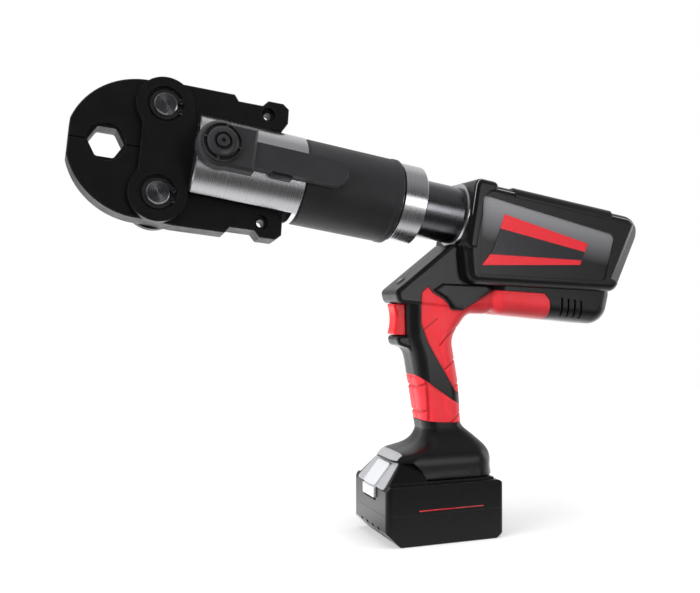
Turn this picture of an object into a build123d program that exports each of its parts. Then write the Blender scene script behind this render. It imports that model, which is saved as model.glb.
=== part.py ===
"""Cordless pipe press tool: jaws on a swivelling ram head, a pump body with a handle, and a slide-on battery.

Millimetres. The origin is the middle of the battery's underside, +Z is up, and the jaws point to -X.
"""
import os
from math import cos, radians, sin

from build123d import *

os.makedirs("parts", exist_ok=True)

# How the tool stands
AXIS_HEIGHT = 309.0  # barrel axis above the battery's underside, straight over the origin
BARREL_PITCH = 9.3  # degrees that the barrel rises towards the jaws
HEAD_ROLL = 9.5  # degrees that the head is turned on the body at rest
JAW_SAG = 3.0  # degrees that the jaw set hangs below the barrel axis at rest

# Clearances
RUN = 0.05  # a shaft in its hole, on the radius
FACE_GAP = 0.3  # flat faces of pieces that move past each other
PLAY = 0.6  # a button or slider in its opening

# Jaw set, measured from the lock pin
JAW_THICKNESS = 20.0
JAW_PIN_AHEAD = 43.3
JAW_PIN_SPREAD = 39.4  # jaw pins above and below the centre line
JAW_PIN_R = 10.0
PRESS_AHEAD = 88.5
PRESS_FLATS = 26.0  # press hole across its flats
PRESS_CORNER_R = 3.0
PRESS_RIM_R = 16.4  # round recess at each end of the press hole
PRESS_RIM = 2.0
JAW_NOSE_AHEAD = 118.5
JAW_NOSE_FLAT = 15.6  # half of the flat front
JAW_CROWN_R = 65.0
JAW_PARTING = 0.2  # gap between the closed jaws
JAW_EDGE = 1.0
JAW_OPEN = 8.0  # degrees that each jaw opens
ARM_OUTER = 63.5
ARM_WAIST = 58.0
ARM_REACH = 67.5
TAB_LENGTH = 19.5
TAB_HOLE_R = 3.5
TAB_HOLE_INSET = 13.5  # from the outer edge of the tab
TAB_RECESS_R = 6.6
TAB_RECESS = 4.0
PLATE_THICKNESS = 6.6
LOBE_R = 24.5
PLATE_WAIST = 42.0
PLATE_HEEL = 3.5
PLATE_HEEL_HALF = 30.0
WAIST_BLEND_R = 14.0
TONGUE_R = 17.0
PIN_RECESS_R = 16.0
PIN_RECESS_DEPTH = 2.6
RING_R = 13.2
RING_THICKNESS = 1.5
RING_MOUTH = 7.0
PIN_PROUD = 1.6

# Lock pin and lever
LOCK_STATION = -214.5  # along the barrel axis, from the point over the origin, towards the rear
LOCK_PIN_R = 7.0
LEVER_LIFT = 1.0  # underside of the lever off the yoke
LEVER_THICKNESS = 10.0
HUB_R = 20.0
HUB_BLOCK = 29.5
HUB_RISE = 3.0
LEVER_REACH = 113.5
LEVER_WIDTH = 22.5
LEVER_DROP = 2.5  # the bar's middle line below the pin
CAP_R = 16.5
CAP_RISE = 6.0
CAP_SLOT_R = 14.6
CAP_SLOT_WIDTH = 3.2
CAP_SLOT_ARC = 66.0

# Ram
ROLLER_R = 9.0
ROLLER_WIDTH = 21.0
AXLE_R = 4.0
RAM_FORWARD = 26.0  # roller axles behind the lock pin, ram fully out
RAM_STROKE = 26.0
CAM_PLAY = 2.3  # room between a roller and its jaw tail
TAIL_PLAY = 1.6  # room between the lock pin and an open jaw
FORK_CHEEK = 4.5
FORK_NOSE = 8.0
FORK_WEB = 8.4
FORK_HALF = 15.0
ROD_R = 12.0
ROD_STUD_R = 6.0
PISTON_LENGTH = 22.0
BORE_R = 27.5
SEAL_WIDTH = 4.0
SEAL_DEPTH = 3.0
SPRING_R = 20.0
SPRING_WALL = 5.0
SPRING_ROOM = 14.0

# Head stations along the barrel axis, and radii
YOKE_FRONT = -231.0
YOKE_R = 39.6
SLOT_END = -139.0
YOKE_REAR = -134.0
SPIGOT_END = -112.0
CYLINDER_END = -44.0
CYLINDER_BOTTOM = 4.0
CYLINDER_R = 36.0
OIL_PORT_R = 4.0
SLEEVE_R = 39.8
SLEEVE_END = -42.0
SLEEVE_LIP = 5.0
COLLAR_R = 37.8
COLLAR_END = -17.0
COLLAR_CHEST_R = 26.0
COLLAR_CHEST = 11.0
EDGE = 1.2
SWIVEL_R = 20.0
SWIVEL_LENGTH = 23.0
SWIVEL_RING_R = 24.0
TUBE_R = 27.5
TUBE_END = 41.5
NOSE = 29.5
BEZEL_R = 31.5
BEZEL_LENGTH = 2.6

# Drive, along the barrel axis behind the tube
PUMP_LENGTH = 42.0
PUMP_HALF_HEIGHT = 27.0
PUMP_HALF_WIDTH = 26.0
PUMP_CORNER_R = 4.0
BEARING_LENGTH = 10.0
ECCENTRIC_LENGTH = 12.0
ECCENTRIC_POCKET = 20.0
ECCENTRIC_POCKET_R = 14.0
ECCENTRIC_R = 9.0
ECCENTRIC_THROW = 1.5
PLUNGER_R = 4.0
PLUNGER_LENGTH = 14.0
DRIVE_SHAFT_R = 5.0
GEARBOX_LENGTH = 40.0
GEARBOX_R = 24.0
GEARBOX_WALL = 4.0
MOTOR_LENGTH = 75.0
MOTOR_R = 23.0
MOTOR_WALL = 3.0
MOTOR_SHAFT_R = 2.5
ARMATURE_R = 18.5
ARMATURE_INSET = 6.0
CARRIER_R = 17.0
CARRIER_LENGTH = 6.0
PLANET_R = 7.0
SUN_R = 5.0
PLANET_COUNT = 3
PLANET_PIN_R = 2.5
PLANET_LENGTH = 12.0
BLADDER_START = 58.0
BLADDER_LENGTH = 66.0
BLADDER_HEIGHT = 26.0
BLADDER_WIDTH = 36.0
BLADDER_EDGE = 6.0

# Housing
WALL = 3.2
PAD_DEPTH = 1.6
BROW_HALF = 24.0  # silver patch on the foot's front
BODY_HALF = 36.0
BODY_TOP = 31.4  # above the barrel axis
BODY_EDGE = 8.0
BODY_REAR = 224.0
BEVEL_RUN = 13.0  # slant of the body's rear side edges, along the side
BEVEL_DEPTH = 6.0  # and across the tool
HOOD_RISE = 3.0
HOOD_PROUD = 0.8
HOOD_LENGTH = 45.0
HOOD_EDGE = 5.0
BELLY_HALF = 27.0
BELLY_EDGE = 15.0
GRIP_HALF = 19.5
GRIP_EDGE = 12.0
STRUT_HALF = 20.5
STRUT_EDGE = 4.0
GUARD_HALF = 13.0
GUARD_EDGE = 3.0
FOOT_HALF = 33.0
FOOT_BOTTOM = 56.5
FOOT_BROW = 73.2  # underside of the foot over the battery's latch
FOOT_CORNER = 20.0
FOOT_NECK = 18.5  # half of the foot's width where it leaves the handle
RIDGE_FRONT = (26.0, 238.0)
RIDGE_REAR = (192.0, 230.5)
VENT_COUNT = 4
VENT_PITCH = 7.4
VENT_WIDTH = 2.4
VENT_HEIGHT = 18.0
VENT_PLACE = (133.0, 216.0)
RAIL_START = 72.0
RAIL_END = 183.0
RAIL_PROUD = 0.7
RAIL_RISE = 1.8
RAIL_SKIRT = 8.0  # how far the rail comes down the body's sides
PANEL_DEPTH = 1.2
LABEL_DEPTH = 0.7
LED_R = 3.5
LED_LENGTH = 9.0
LED_PROUD = 1.0
SCREW_R = 1.5
SCREW_HEAD_R = 3.1
SCREW_HEAD = 2.4
SCREW_SINK = 6.0
SCREW_BITE = 8.0  # how far a screw goes into the left shell
BOSS_R = 4.6

# Controls
TRIGGER_FRONT = -39.5
TRIGGER_BACK = -22.0
TRIGGER_TOP = 219.0
TRIGGER_BOTTOM = 190.0
TRIGGER_HALF = 8.5
TRIGGER_TRAVEL = 6.0
TRIGGER_STEM_R = 3.0
TRIGGER_STEM = 12.0
TRIGGER_HOLLOW = 2.6
TRIGGER_EDGE = 2.0
SWITCH_LENGTH = 22.0
SWITCH_BOTTOM = 187.0
SWITCH_TOP = 221.0
PADDLE_PROUD = 3.4
PADDLE_DEPTH = 9.0
PADDLE_EDGE = 1.5
PADDLE_TRAVEL = 3.0
TERMINAL_GAP = 2.0
TERMINAL_LENGTH = 8.0
TERMINAL_HALF = 26.0
TERMINAL_HEIGHT = 8.3
BLADE_LENGTH = 10.0
BLADE_HEIGHT = 2.7
BLADE_THICKNESS = 1.0
BOARD_LENGTH = 45.0
BOARD_HALF = 14.0
BOARD_BOTTOM = 66.0
BOARD_THICKNESS = 1.6

# Battery
BATTERY_LENGTH = 119.0
BATTERY_WIDTH = 84.0
BATTERY_SPLIT = 28.0
BATTERY_SHOULDER = 54.5
BATTERY_WALL = 2.4
BATTERY_CORNER = 5.0
BATTERY_EDGE = 2.0
BATTERY_NOSE = (13.0, 13.0)  # slope under the front: along, up
BATTERY_HEEL = (8.0, 5.5)
BATTERY_BACK_R = 8.0
GROOVE_COUNT = 4
GROOVE_PITCH = 14.0
GROOVE_WIDTH = 4.5
GROOVE_DEPTH = 1.4
LATCH_BLOCK_HALF = 36.0
LATCH_BLOCK_TOP = 27.5  # half of its width at the top
LATCH_SLOPE_LOW = 50.0
LATCH_SLOPE_BACK = 19.0
LATCH_HALF = 14.0
LATCH_LENGTH = 22.0
LATCH_CORNER_R = 3.0
LATCH_DEPTH = 8.0
LATCH_PROUD = 2.6
BEZEL_PLATE = 1.2
BEZEL_PLATE_HALF = 33.5
BEZEL_PLATE_TOP = 25.5
TONGUE_DROP = 9.5  # how far the latch hangs below its slope
TONGUE_THICKNESS = 2.2
TONGUE_PROUD = 2.0
LATCH_TRAVEL = 2.5
LATCH_SPRING_R = 3.0
LATCH_BORE = 4.5
SLIDE_NECK_HALF = 17.0
SLIDE_HEAD_HALF = 21.5
SLIDE_FRONT = -12.0
SLIDE_REAR_INSET = 26.0  # from the battery's back
SLIDE_LIP = 2.6
SLIDE_HEIGHT = 7.8
CELL_R = 9.1
CELL_LENGTH = 65.0
CELL_PITCH = 19.2
CELL_COLUMNS = 5
CELL_ROWS = 2
CONTACT_SPREAD = 8.0
CONTACT_THICKNESS = 0.4

# Planes: x runs to the rear, y up across the barrel, z to the side that carries the lock lever
BARREL = Plane(
    origin=(0, 0, AXIS_HEIGHT),
    x_dir=(cos(radians(BARREL_PITCH)), 0, -sin(radians(BARREL_PITCH))),
    z_dir=(0, -1, 0),
)
BARREL_AXIS = Axis(BARREL.origin, BARREL.x_dir)
HEAD = Plane(
    origin=BARREL.origin,
    x_dir=BARREL.x_dir,
    z_dir=BARREL.z_dir.rotate(Axis((0, 0, 0), BARREL.x_dir), -HEAD_ROLL),
)
LOCK = Plane(origin=HEAD.from_local_coords((LOCK_STATION, 0, 0)), x_dir=HEAD.x_dir, z_dir=HEAD.z_dir)
JAWS = Plane(
    origin=LOCK.origin,
    x_dir=LOCK.x_dir.rotate(Axis((0, 0, 0), LOCK.z_dir), JAW_SAG),
    z_dir=LOCK.z_dir,
)
SIDE = Plane.XZ  # world X and Z, seen from the lever's side


def on_barrel(station, height):
    """World X and Z of a place along the barrel and above its axis."""
    pitch = radians(BARREL_PITCH)
    return (
        station * cos(pitch) + height * sin(pitch),
        AXIS_HEIGHT - station * sin(pitch) + height * cos(pitch),
    )


def turned(outline):
    """A solid of revolution about the barrel axis, from (station, radius) corners."""
    with BuildPart() as solid:
        with BuildSketch(BARREL):
            with BuildLine():
                Polyline(*outline, close=True)
            make_face()
        revolve(axis=BARREL_AXIS)
    return solid.part


def slab(outline, radii, half, edge, inset):
    """A slab of the housing across the tool's width, rounded all round and drawn in by inset."""
    with BuildPart() as solid:
        with BuildSketch(SIDE):
            with BuildLine():
                FilletPolyline(*outline, radius=radii, close=True)
            make_face()
            if inset > 0:
                offset(amount=-inset)
        extrude(amount=half - inset, both=True)
        fillet(solid.faces().filter_by(Axis.Y).edges(), edge - inset)
    return solid.part


def finish(piece, name):
    """Label a finished piece and write it."""
    piece.label = name
    export_step(piece, f"parts/{name}.step")


# Jaws: nose, half of the press hole, and a tail whose inner edge is the cam that the roller spreads
def cam_height(station, opening):
    """Least height of a jaw tail's inner edge over a roller, with the jaw opened and the set rocked."""
    swing = (station + JAW_PIN_AHEAD) * sin(radians(opening))
    rock = station * sin(radians(JAW_SAG))
    return roller_offset + ROLLER_R + swing + rock + CAM_PLAY


roller_offset = ROLLER_R + FACE_GAP
ram_back = RAM_FORWARD + RAM_STROKE
lock_room = LOCK_PIN_R + JAW_PIN_AHEAD * sin(radians(JAW_OPEN)) + TAIL_PLAY
cam_low = cam_height(RAM_FORWARD, 0)
cam_high = cam_height(ram_back, JAW_OPEN)
tab_start = ARM_REACH - TAB_LENGTH
shoulder = (-JAW_PIN_AHEAD - 12.0, ARM_OUTER - 2.0)
tab_hole = (tab_start + 0.5, ARM_OUTER - TAB_HOLE_INSET)

for name, side in (("jaw_upper", 1), ("jaw_lower", -1)):
    with BuildPart() as jaw:
        with BuildSketch(JAWS.offset(-JAW_THICKNESS / 2)):
            with BuildLine():
                nose_low = (-JAW_NOSE_AHEAD, side * JAW_PARTING / 2)
                nose_high = (-JAW_NOSE_AHEAD, side * JAW_NOSE_FLAT)
                crown_end = (shoulder[0], side * shoulder[1])
                Line(nose_low, nose_high)
                RadiusArc(nose_high, crown_end, side * JAW_CROWN_R)
                tail = [
                    shoulder,
                    (-JAW_PIN_AHEAD + 16.0, ARM_OUTER),
                    (tab_start - 31.0, ARM_OUTER),
                    (tab_start - 27.0, ARM_WAIST),
                    (tab_start - 5.0, ARM_WAIST),
                    (tab_start, ARM_OUTER),
                    (ARM_REACH - 5.5, ARM_OUTER),
                    (ARM_REACH, ARM_OUTER - 4.5),
                    (ARM_REACH, cam_high + 9.0),
                    (ARM_REACH - 5.5, cam_high),
                    (ram_back, cam_high),
                    (RAM_FORWARD, cam_low),
                    (0, lock_room),
                    (-JAW_PIN_AHEAD / 2, lock_room / 2),
                    (-JAW_PIN_AHEAD - 4.0, JAW_PARTING / 2),
                    (-JAW_NOSE_AHEAD, JAW_PARTING / 2),
                ]
                Polyline(*[(x, side * y) for x, y in tail])
            make_face()
        extrude(amount=JAW_THICKNESS)
        chamfer(jaw.faces().filter_by(Axis(JAWS.origin, JAWS.z_dir)).edges(), JAW_EDGE)
        with BuildSketch(JAWS.offset(-JAW_THICKNESS / 2)):
            with Locations((-PRESS_AHEAD, 0)):
                RegularPolygon(PRESS_FLATS / 2, 6, major_radius=False)
            fillet(vertices(), PRESS_CORNER_R)
            with Locations((-JAW_PIN_AHEAD, side * JAW_PIN_SPREAD)):
                Circle(JAW_PIN_R + RUN)
            with Locations((tab_hole[0], side * tab_hole[1])):
                Circle(TAB_HOLE_R)
        extrude(amount=JAW_THICKNESS, mode=Mode.SUBTRACT)
        for face, depth in ((JAW_THICKNESS / 2, -1), (-JAW_THICKNESS / 2, 1)):
            with BuildSketch(JAWS.offset(face)):
                with Locations((-PRESS_AHEAD, 0)):
                    Circle(PRESS_RIM_R)
            extrude(amount=depth * PRESS_RIM, mode=Mode.SUBTRACT)
            with BuildSketch(JAWS.offset(face)):
                with Locations((tab_hole[0], side * tab_hole[1])):
                    Circle(TAB_RECESS_R)
            extrude(amount=depth * TAB_RECESS, mode=Mode.SUBTRACT)
    finish(jaw.part, name)

# Side plates: a lobe round each jaw pin, and a tongue that the lock pin goes through
plate_inner = JAW_THICKNESS / 2 + FACE_GAP
plate_outer = plate_inner + PLATE_THICKNESS
pin_places = [(-JAW_PIN_AHEAD, JAW_PIN_SPREAD), (-JAW_PIN_AHEAD, -JAW_PIN_SPREAD)]
plate_rear = -JAW_PIN_AHEAD + LOBE_R

for name, side in (("side_plate_near", 1), ("side_plate_far", -1)):
    plate_plane = JAWS.offset(plate_inner if side > 0 else -plate_outer)
    recess_plane = JAWS.offset(plate_outer - PIN_RECESS_DEPTH if side > 0 else -plate_outer)
    with BuildPart() as plate:
        with BuildSketch(plate_plane):
            with Locations(*pin_places):
                Circle(LOBE_R)
            with Locations((plate_rear - PLATE_WAIST / 2, 0)):
                Rectangle(PLATE_WAIST, 2 * JAW_PIN_SPREAD)
            waist_corners = vertices().filter_by(lambda v: v.X < plate_rear - PLATE_WAIST + 1)
            fillet(waist_corners.filter_by(lambda v: abs(v.Y) < JAW_PIN_SPREAD - 1), WAIST_BLEND_R)
            with BuildLine():
                Polyline(
                    (plate_rear - PLATE_HEEL, JAW_PIN_SPREAD), (plate_rear + PLATE_HEEL, PLATE_HEEL_HALF),
                    (plate_rear + PLATE_HEEL, -PLATE_HEEL_HALF), (plate_rear - PLATE_HEEL, -JAW_PIN_SPREAD),
                    close=True,
                )
            make_face()
            with Locations((plate_rear / 2 - TONGUE_R / 2, 0)):
                Rectangle(-plate_rear + TONGUE_R, 2 * TONGUE_R)
            Circle(TONGUE_R)
            Circle(LOCK_PIN_R + RUN, mode=Mode.SUBTRACT)
            with Locations(*pin_places):
                Circle(JAW_PIN_R, mode=Mode.SUBTRACT)
        extrude(amount=PLATE_THICKNESS)
        with BuildSketch(recess_plane):
            with Locations(*pin_places):
                Circle(PIN_RECESS_R)
        extrude(amount=PIN_RECESS_DEPTH, mode=Mode.SUBTRACT)
    finish(plate.part, name)

# Jaw pins, grooved near each end for a snap ring that lies in the plate's recess
pin_end = plate_outer + PIN_PROUD
groove = plate_outer - PIN_RECESS_DEPTH
groove_r = JAW_PIN_R - 1.5

for name, place in zip(("jaw_pin_upper", "jaw_pin_lower"), pin_places):
    with BuildPart() as pin:
        with BuildSketch(JAWS.offset(-pin_end)):
            with Locations(place):
                Circle(JAW_PIN_R)
        extrude(amount=2 * pin_end)
        chamfer(pin.edges().filter_by(GeomType.CIRCLE), EDGE)
        for start in (groove, -groove - RING_THICKNESS):
            with BuildSketch(JAWS.offset(start)):
                with Locations(place):
                    Circle(JAW_PIN_R)
                    Circle(groove_r, mode=Mode.SUBTRACT)
            extrude(amount=RING_THICKNESS, mode=Mode.SUBTRACT)
    finish(pin.part, name)

with BuildPart() as rings:
    for start in (groove, -groove - RING_THICKNESS):
        for place in pin_places:
            with BuildSketch(JAWS.offset(start)):
                with Locations(place):
                    Circle(RING_R)
                    Circle(groove_r, mode=Mode.SUBTRACT)
                with Locations((place[0] + RING_R, place[1])):
                    Rectangle(2 * RING_R, RING_MOUTH, mode=Mode.SUBTRACT)
            extrude(amount=RING_THICKNESS)
finish(rings.part, "retaining_rings")

# Yoke: a round fork with a slot right through for the jaw set, and a spigot into the cylinder
slot_half = plate_outer + FACE_GAP
with BuildPart() as yoke:
    add(turned([(YOKE_FRONT, 0), (YOKE_FRONT, YOKE_R - EDGE), (YOKE_FRONT + EDGE, YOKE_R),
                (YOKE_REAR - EDGE, YOKE_R), (YOKE_REAR, YOKE_R - EDGE), (YOKE_REAR, BORE_R - RUN),
                (SPIGOT_END, BORE_R - RUN), (SPIGOT_END, 0)]))
    with BuildSketch(HEAD.offset(-slot_half)):
        with Locations(((YOKE_FRONT + SLOT_END) / 2, 0)):
            Rectangle(SLOT_END - YOKE_FRONT, 2 * YOKE_R + 2)
    extrude(amount=2 * slot_half, mode=Mode.SUBTRACT)
    with BuildSketch(LOCK.offset(-YOKE_R)):
        Circle(LOCK_PIN_R + RUN)
    extrude(amount=2 * YOKE_R, mode=Mode.SUBTRACT)
    rod_end = SPIGOT_END + 1
    add(turned([(SLOT_END - 1, 0), (SLOT_END - 1, ROD_R + RUN), (SPIGOT_END - SEAL_WIDTH, ROD_R + RUN),
                (SPIGOT_END - SEAL_WIDTH, ROD_R + SEAL_DEPTH), (rod_end, ROD_R + SEAL_DEPTH), (rod_end, 0)]),
        mode=Mode.SUBTRACT)
finish(yoke.part, "yoke")

# Lock pin and its lever; the lever lies along the barrel and swings about the pin
lever_floor = YOKE_R + LEVER_LIFT
lever_top = lever_floor + LEVER_THICKNESS
hub_top = lever_top + HUB_RISE
with BuildPart() as lock_pin:
    with BuildSketch(LOCK.offset(-YOKE_R + EDGE)):
        Circle(LOCK_PIN_R)
    extrude(amount=YOKE_R - EDGE + hub_top - HUB_RISE)
    chamfer(lock_pin.faces().sort_by(Axis(LOCK.origin, LOCK.z_dir))[0].edges(), EDGE)
finish(lock_pin.part, "lock_pin")

with BuildPart() as lever:
    with BuildSketch(LOCK.offset(lever_floor)):
        Circle(HUB_R)
        with Locations((HUB_BLOCK / 2, 0)):
            Rectangle(HUB_BLOCK, 2 * HUB_R - 2)
        Circle(LOCK_PIN_R + RUN, mode=Mode.SUBTRACT)
    extrude(amount=hub_top - lever_floor)
    with BuildSketch(LOCK.offset(lever_floor)):
        with Locations(((LEVER_REACH - LEVER_WIDTH / 2) / 2 + HUB_R / 2, -LEVER_DROP)):
            Rectangle(LEVER_REACH - LEVER_WIDTH / 2 - HUB_R, LEVER_WIDTH)
        with Locations((LEVER_REACH - LEVER_WIDTH / 2, -LEVER_DROP)):
            Circle(LEVER_WIDTH / 2)
    extrude(amount=LEVER_THICKNESS)
    with BuildSketch(LOCK.offset(lever_top)):
        Circle(LOCK_PIN_R + RUN)
    extrude(amount=HUB_RISE, mode=Mode.SUBTRACT)
    top_faces = lever.faces().filter_by(Axis(LOCK.origin, LOCK.z_dir)).sort_by(Axis(LOCK.origin, LOCK.z_dir))
    chamfer(top_faces[-1].outer_wire().edges(), 2 * EDGE)
finish(lever.part, "lock_lever")

with BuildPart() as cap:
    with BuildSketch(LOCK.offset(hub_top)):
        Circle(CAP_R)
    extrude(amount=CAP_RISE)
    with BuildSketch(LOCK.offset(hub_top + CAP_RISE - EDGE)):
        with PolarLocations(0, 4, 45):
            slot_line = CenterArc((0, 0), CAP_SLOT_R - CAP_SLOT_WIDTH / 2, -CAP_SLOT_ARC / 2, CAP_SLOT_ARC)
            SlotArc(slot_line, CAP_SLOT_WIDTH)
    extrude(amount=EDGE, mode=Mode.SUBTRACT)
finish(cap.part, "lock_cap")

# Ram: piston and rod, the fork at the rod's front, and two rollers on their axles
axle_station = LOCK_STATION + RAM_FORWARD
web_front = axle_station + ROLLER_R + PLAY
web_rear = web_front + FORK_WEB
fork_inner = ROLLER_WIDTH / 2 + FACE_GAP
fork_outer = fork_inner + FORK_CHEEK
piston_front = SPIGOT_END + SPRING_ROOM
piston_rear = piston_front + PISTON_LENGTH
seal_start = piston_front + PISTON_LENGTH / 2 - SEAL_WIDTH / 2
axle_places = [(axle_station, roller_offset), (axle_station, -roller_offset)]

with BuildPart() as fork:
    with BuildSketch(HEAD.offset(-fork_outer)):
        with Locations(((axle_station - FORK_NOSE + web_rear) / 2, 0)):
            Rectangle(web_rear - axle_station + FORK_NOSE, 2 * FORK_HALF)
        with Locations(*axle_places):
            Circle(AXLE_R, mode=Mode.SUBTRACT)
    extrude(amount=2 * fork_outer)
    with BuildSketch(HEAD.offset(-fork_inner)):
        with Locations(((axle_station - FORK_NOSE + web_front) / 2 - 1, 0)):
            Rectangle(web_front - axle_station + FORK_NOSE + 2, 2 * FORK_HALF + 2)
    extrude(amount=2 * fork_inner, mode=Mode.SUBTRACT)
    add(turned([(web_front - 1, 0), (web_front - 1, ROD_STUD_R), (web_rear + 1, ROD_STUD_R),
                (web_rear + 1, 0)]), mode=Mode.SUBTRACT)
finish(fork.part, "roller_fork")

with BuildPart() as axles:
    with BuildSketch(HEAD.offset(-fork_outer)):
        with Locations(*axle_places):
            Circle(AXLE_R)
    extrude(amount=2 * fork_outer)
finish(axles.part, "roller_axles")

for name, place in zip(("roller_upper", "roller_lower"), axle_places):
    with BuildPart() as roller:
        with BuildSketch(HEAD.offset(-ROLLER_WIDTH / 2)):
            with Locations(place):
                Circle(ROLLER_R)
                Circle(AXLE_R + RUN, mode=Mode.SUBTRACT)
        extrude(amount=ROLLER_WIDTH)
    finish(roller.part, name)

piston = turned([
    (web_front, 0), (web_front, ROD_STUD_R), (web_rear, ROD_STUD_R), (web_rear, ROD_R), (piston_front, ROD_R),
    (piston_front, BORE_R - RUN), (seal_start, BORE_R - RUN), (seal_start, BORE_R - SEAL_DEPTH),
    (seal_start + SEAL_WIDTH, BORE_R - SEAL_DEPTH), (seal_start + SEAL_WIDTH, BORE_R - RUN),
    (piston_rear, BORE_R - RUN), (piston_rear, 0),
])
finish(piston, "piston")
finish(turned([
    (seal_start, BORE_R - SEAL_DEPTH), (seal_start, BORE_R - RUN), (seal_start + SEAL_WIDTH, BORE_R - RUN),
    (seal_start + SEAL_WIDTH, BORE_R - SEAL_DEPTH),
]), "piston_seal")
finish(turned([
    (SPIGOT_END - SEAL_WIDTH, ROD_R + RUN), (SPIGOT_END - SEAL_WIDTH, ROD_R + SEAL_DEPTH),
    (SPIGOT_END, ROD_R + SEAL_DEPTH), (SPIGOT_END, ROD_R + RUN),
]), "rod_seal")
finish(turned([
    (SPIGOT_END, SPRING_R - SPRING_WALL), (SPIGOT_END, SPRING_R), (piston_front - FACE_GAP, SPRING_R),
    (piston_front - FACE_GAP, SPRING_R - SPRING_WALL),
]), "return_spring")

# Cylinder, grip sleeve and collar
cylinder_floor = CYLINDER_END - CYLINDER_BOTTOM
finish(turned([
    (YOKE_REAR, BORE_R), (YOKE_REAR, CYLINDER_R), (CYLINDER_END, CYLINDER_R), (CYLINDER_END, OIL_PORT_R),
    (cylinder_floor, OIL_PORT_R), (cylinder_floor, BORE_R),
]), "cylinder")
lip_start = SLEEVE_END - SLEEVE_LIP
finish(turned([
    (YOKE_REAR, CYLINDER_R + RUN), (YOKE_REAR, SLEEVE_R - 2 * EDGE),
    (YOKE_REAR + 2 * EDGE, SLEEVE_R - EDGE / 2), (lip_start - EDGE, SLEEVE_R - EDGE / 2),
    (lip_start, SLEEVE_R), (SLEEVE_END - EDGE, SLEEVE_R),
    (SLEEVE_END, SLEEVE_R - EDGE), (SLEEVE_END, CYLINDER_R + RUN),
]), "sleeve")
chest_end = CYLINDER_END + COLLAR_CHEST
finish(turned([
    (CYLINDER_END, COLLAR_CHEST_R), (CYLINDER_END, CYLINDER_R), (SLEEVE_END + EDGE, CYLINDER_R),
    (SLEEVE_END + 2 * EDGE, COLLAR_R), (COLLAR_END - EDGE, COLLAR_R), (COLLAR_END, COLLAR_R - EDGE),
    (COLLAR_END, SWIVEL_R + RUN), (chest_end, SWIVEL_R + RUN), (chest_end, COLLAR_CHEST_R),
]), "collar_ring")

# Tube that the head turns on, with the ring that keeps it in the collar, and the bright ring at the nose
tube_front = COLLAR_END + FACE_GAP
swivel_front = tube_front - SWIVEL_LENGTH
ring_start = chest_end - 1.0 - 2 * RING_THICKNESS
ring_seat = SWIVEL_R - 2.0
finish(turned([
    (swivel_front, OIL_PORT_R), (swivel_front, SWIVEL_R - EDGE), (swivel_front + EDGE, SWIVEL_R),
    (ring_start, SWIVEL_R), (ring_start, ring_seat), (ring_start + 2 * RING_THICKNESS, ring_seat),
    (ring_start + 2 * RING_THICKNESS, SWIVEL_R), (tube_front, SWIVEL_R), (tube_front, TUBE_R - EDGE),
    (tube_front + EDGE, TUBE_R), (TUBE_END, TUBE_R), (TUBE_END, OIL_PORT_R),
]), "barrel_tube")
finish(turned([
    (ring_start, ring_seat), (ring_start, SWIVEL_RING_R), (ring_start + 2 * RING_THICKNESS, SWIVEL_RING_R),
    (ring_start + 2 * RING_THICKNESS, ring_seat),
]), "swivel_ring")
bezel_front = NOSE - BEZEL_LENGTH
finish(turned([
    (bezel_front, TUBE_R), (bezel_front, BEZEL_R - EDGE), (bezel_front + EDGE, BEZEL_R), (NOSE, BEZEL_R),
    (NOSE, TUBE_R),
]), "bezel_ring")

# Housing: rounded slabs for body, hood, belly, strut, handle and trigger guard, and a flared foot
body_outline = [
    on_barrel(NOSE, -36.0), on_barrel(NOSE, 26.0), on_barrel(NOSE + 6.0, BODY_TOP),
    on_barrel(BODY_REAR, BODY_TOP), RIDGE_REAR, RIDGE_FRONT,
]
body_radii = [10.0, 8.5, 8.5, 17.0, 12.0, 12.0]
hood_outline = [
    on_barrel(NOSE, -34.0), on_barrel(NOSE, 27.0), on_barrel(NOSE + 2.0, BODY_TOP + HOOD_RISE),
    on_barrel(NOSE + HOOD_LENGTH, BODY_TOP + HOOD_RISE), on_barrel(NOSE + 15.0, 20.0),
    on_barrel(NOSE + 13.0, -34.0),
]
hood_radii = [6.0, 8.0, 6.0, 6.0, 8.0, 6.0]
belly_outline = [(58.0, 252.0), (199.0, 246.0), (187.0, 197.0), (56.0, 209.7)]
belly_radii = [18.0, 18.0, 20.0, 18.0]
strut_outline = [
    (17.5, 276.5), (-41.5, 230.8), (-38.5, TRIGGER_TOP + PLAY), (20.0, 214.0), (60.0, 236.0), (50.0, 268.0),
]
strut_radii = [6.0, 5.5, 5.5, 8.0, 8.0, 8.0]
grip_outline = [
    (-28.5, 232.0), (-27.5, 186.0), (-21.0, 168.0), (-8.0, 91.0), (30.5, 91.0), (27.5, 140.0), (19.0, 187.0),
    (36.0, 209.5), (66.0, 208.8), (72.0, 246.0),
]
grip_radii = [14.0, 30.0, 40.0, 14.0, 14.0, 80.0, 22.0, 14.0, 14.0, 14.0]
guard_top = TRIGGER_BOTTOM - PLAY
guard_outline = [
    (-38.0, guard_top), (-35.5, guard_top - 9.0), (-25.5, guard_top - 12.0), (-17.0, 165.0), (-8.0, 175.0),
    (-16.0, guard_top),
]
guard_radii = [3.6, 4.6, 6.0, 5.0, 5.0, 5.0]

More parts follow.
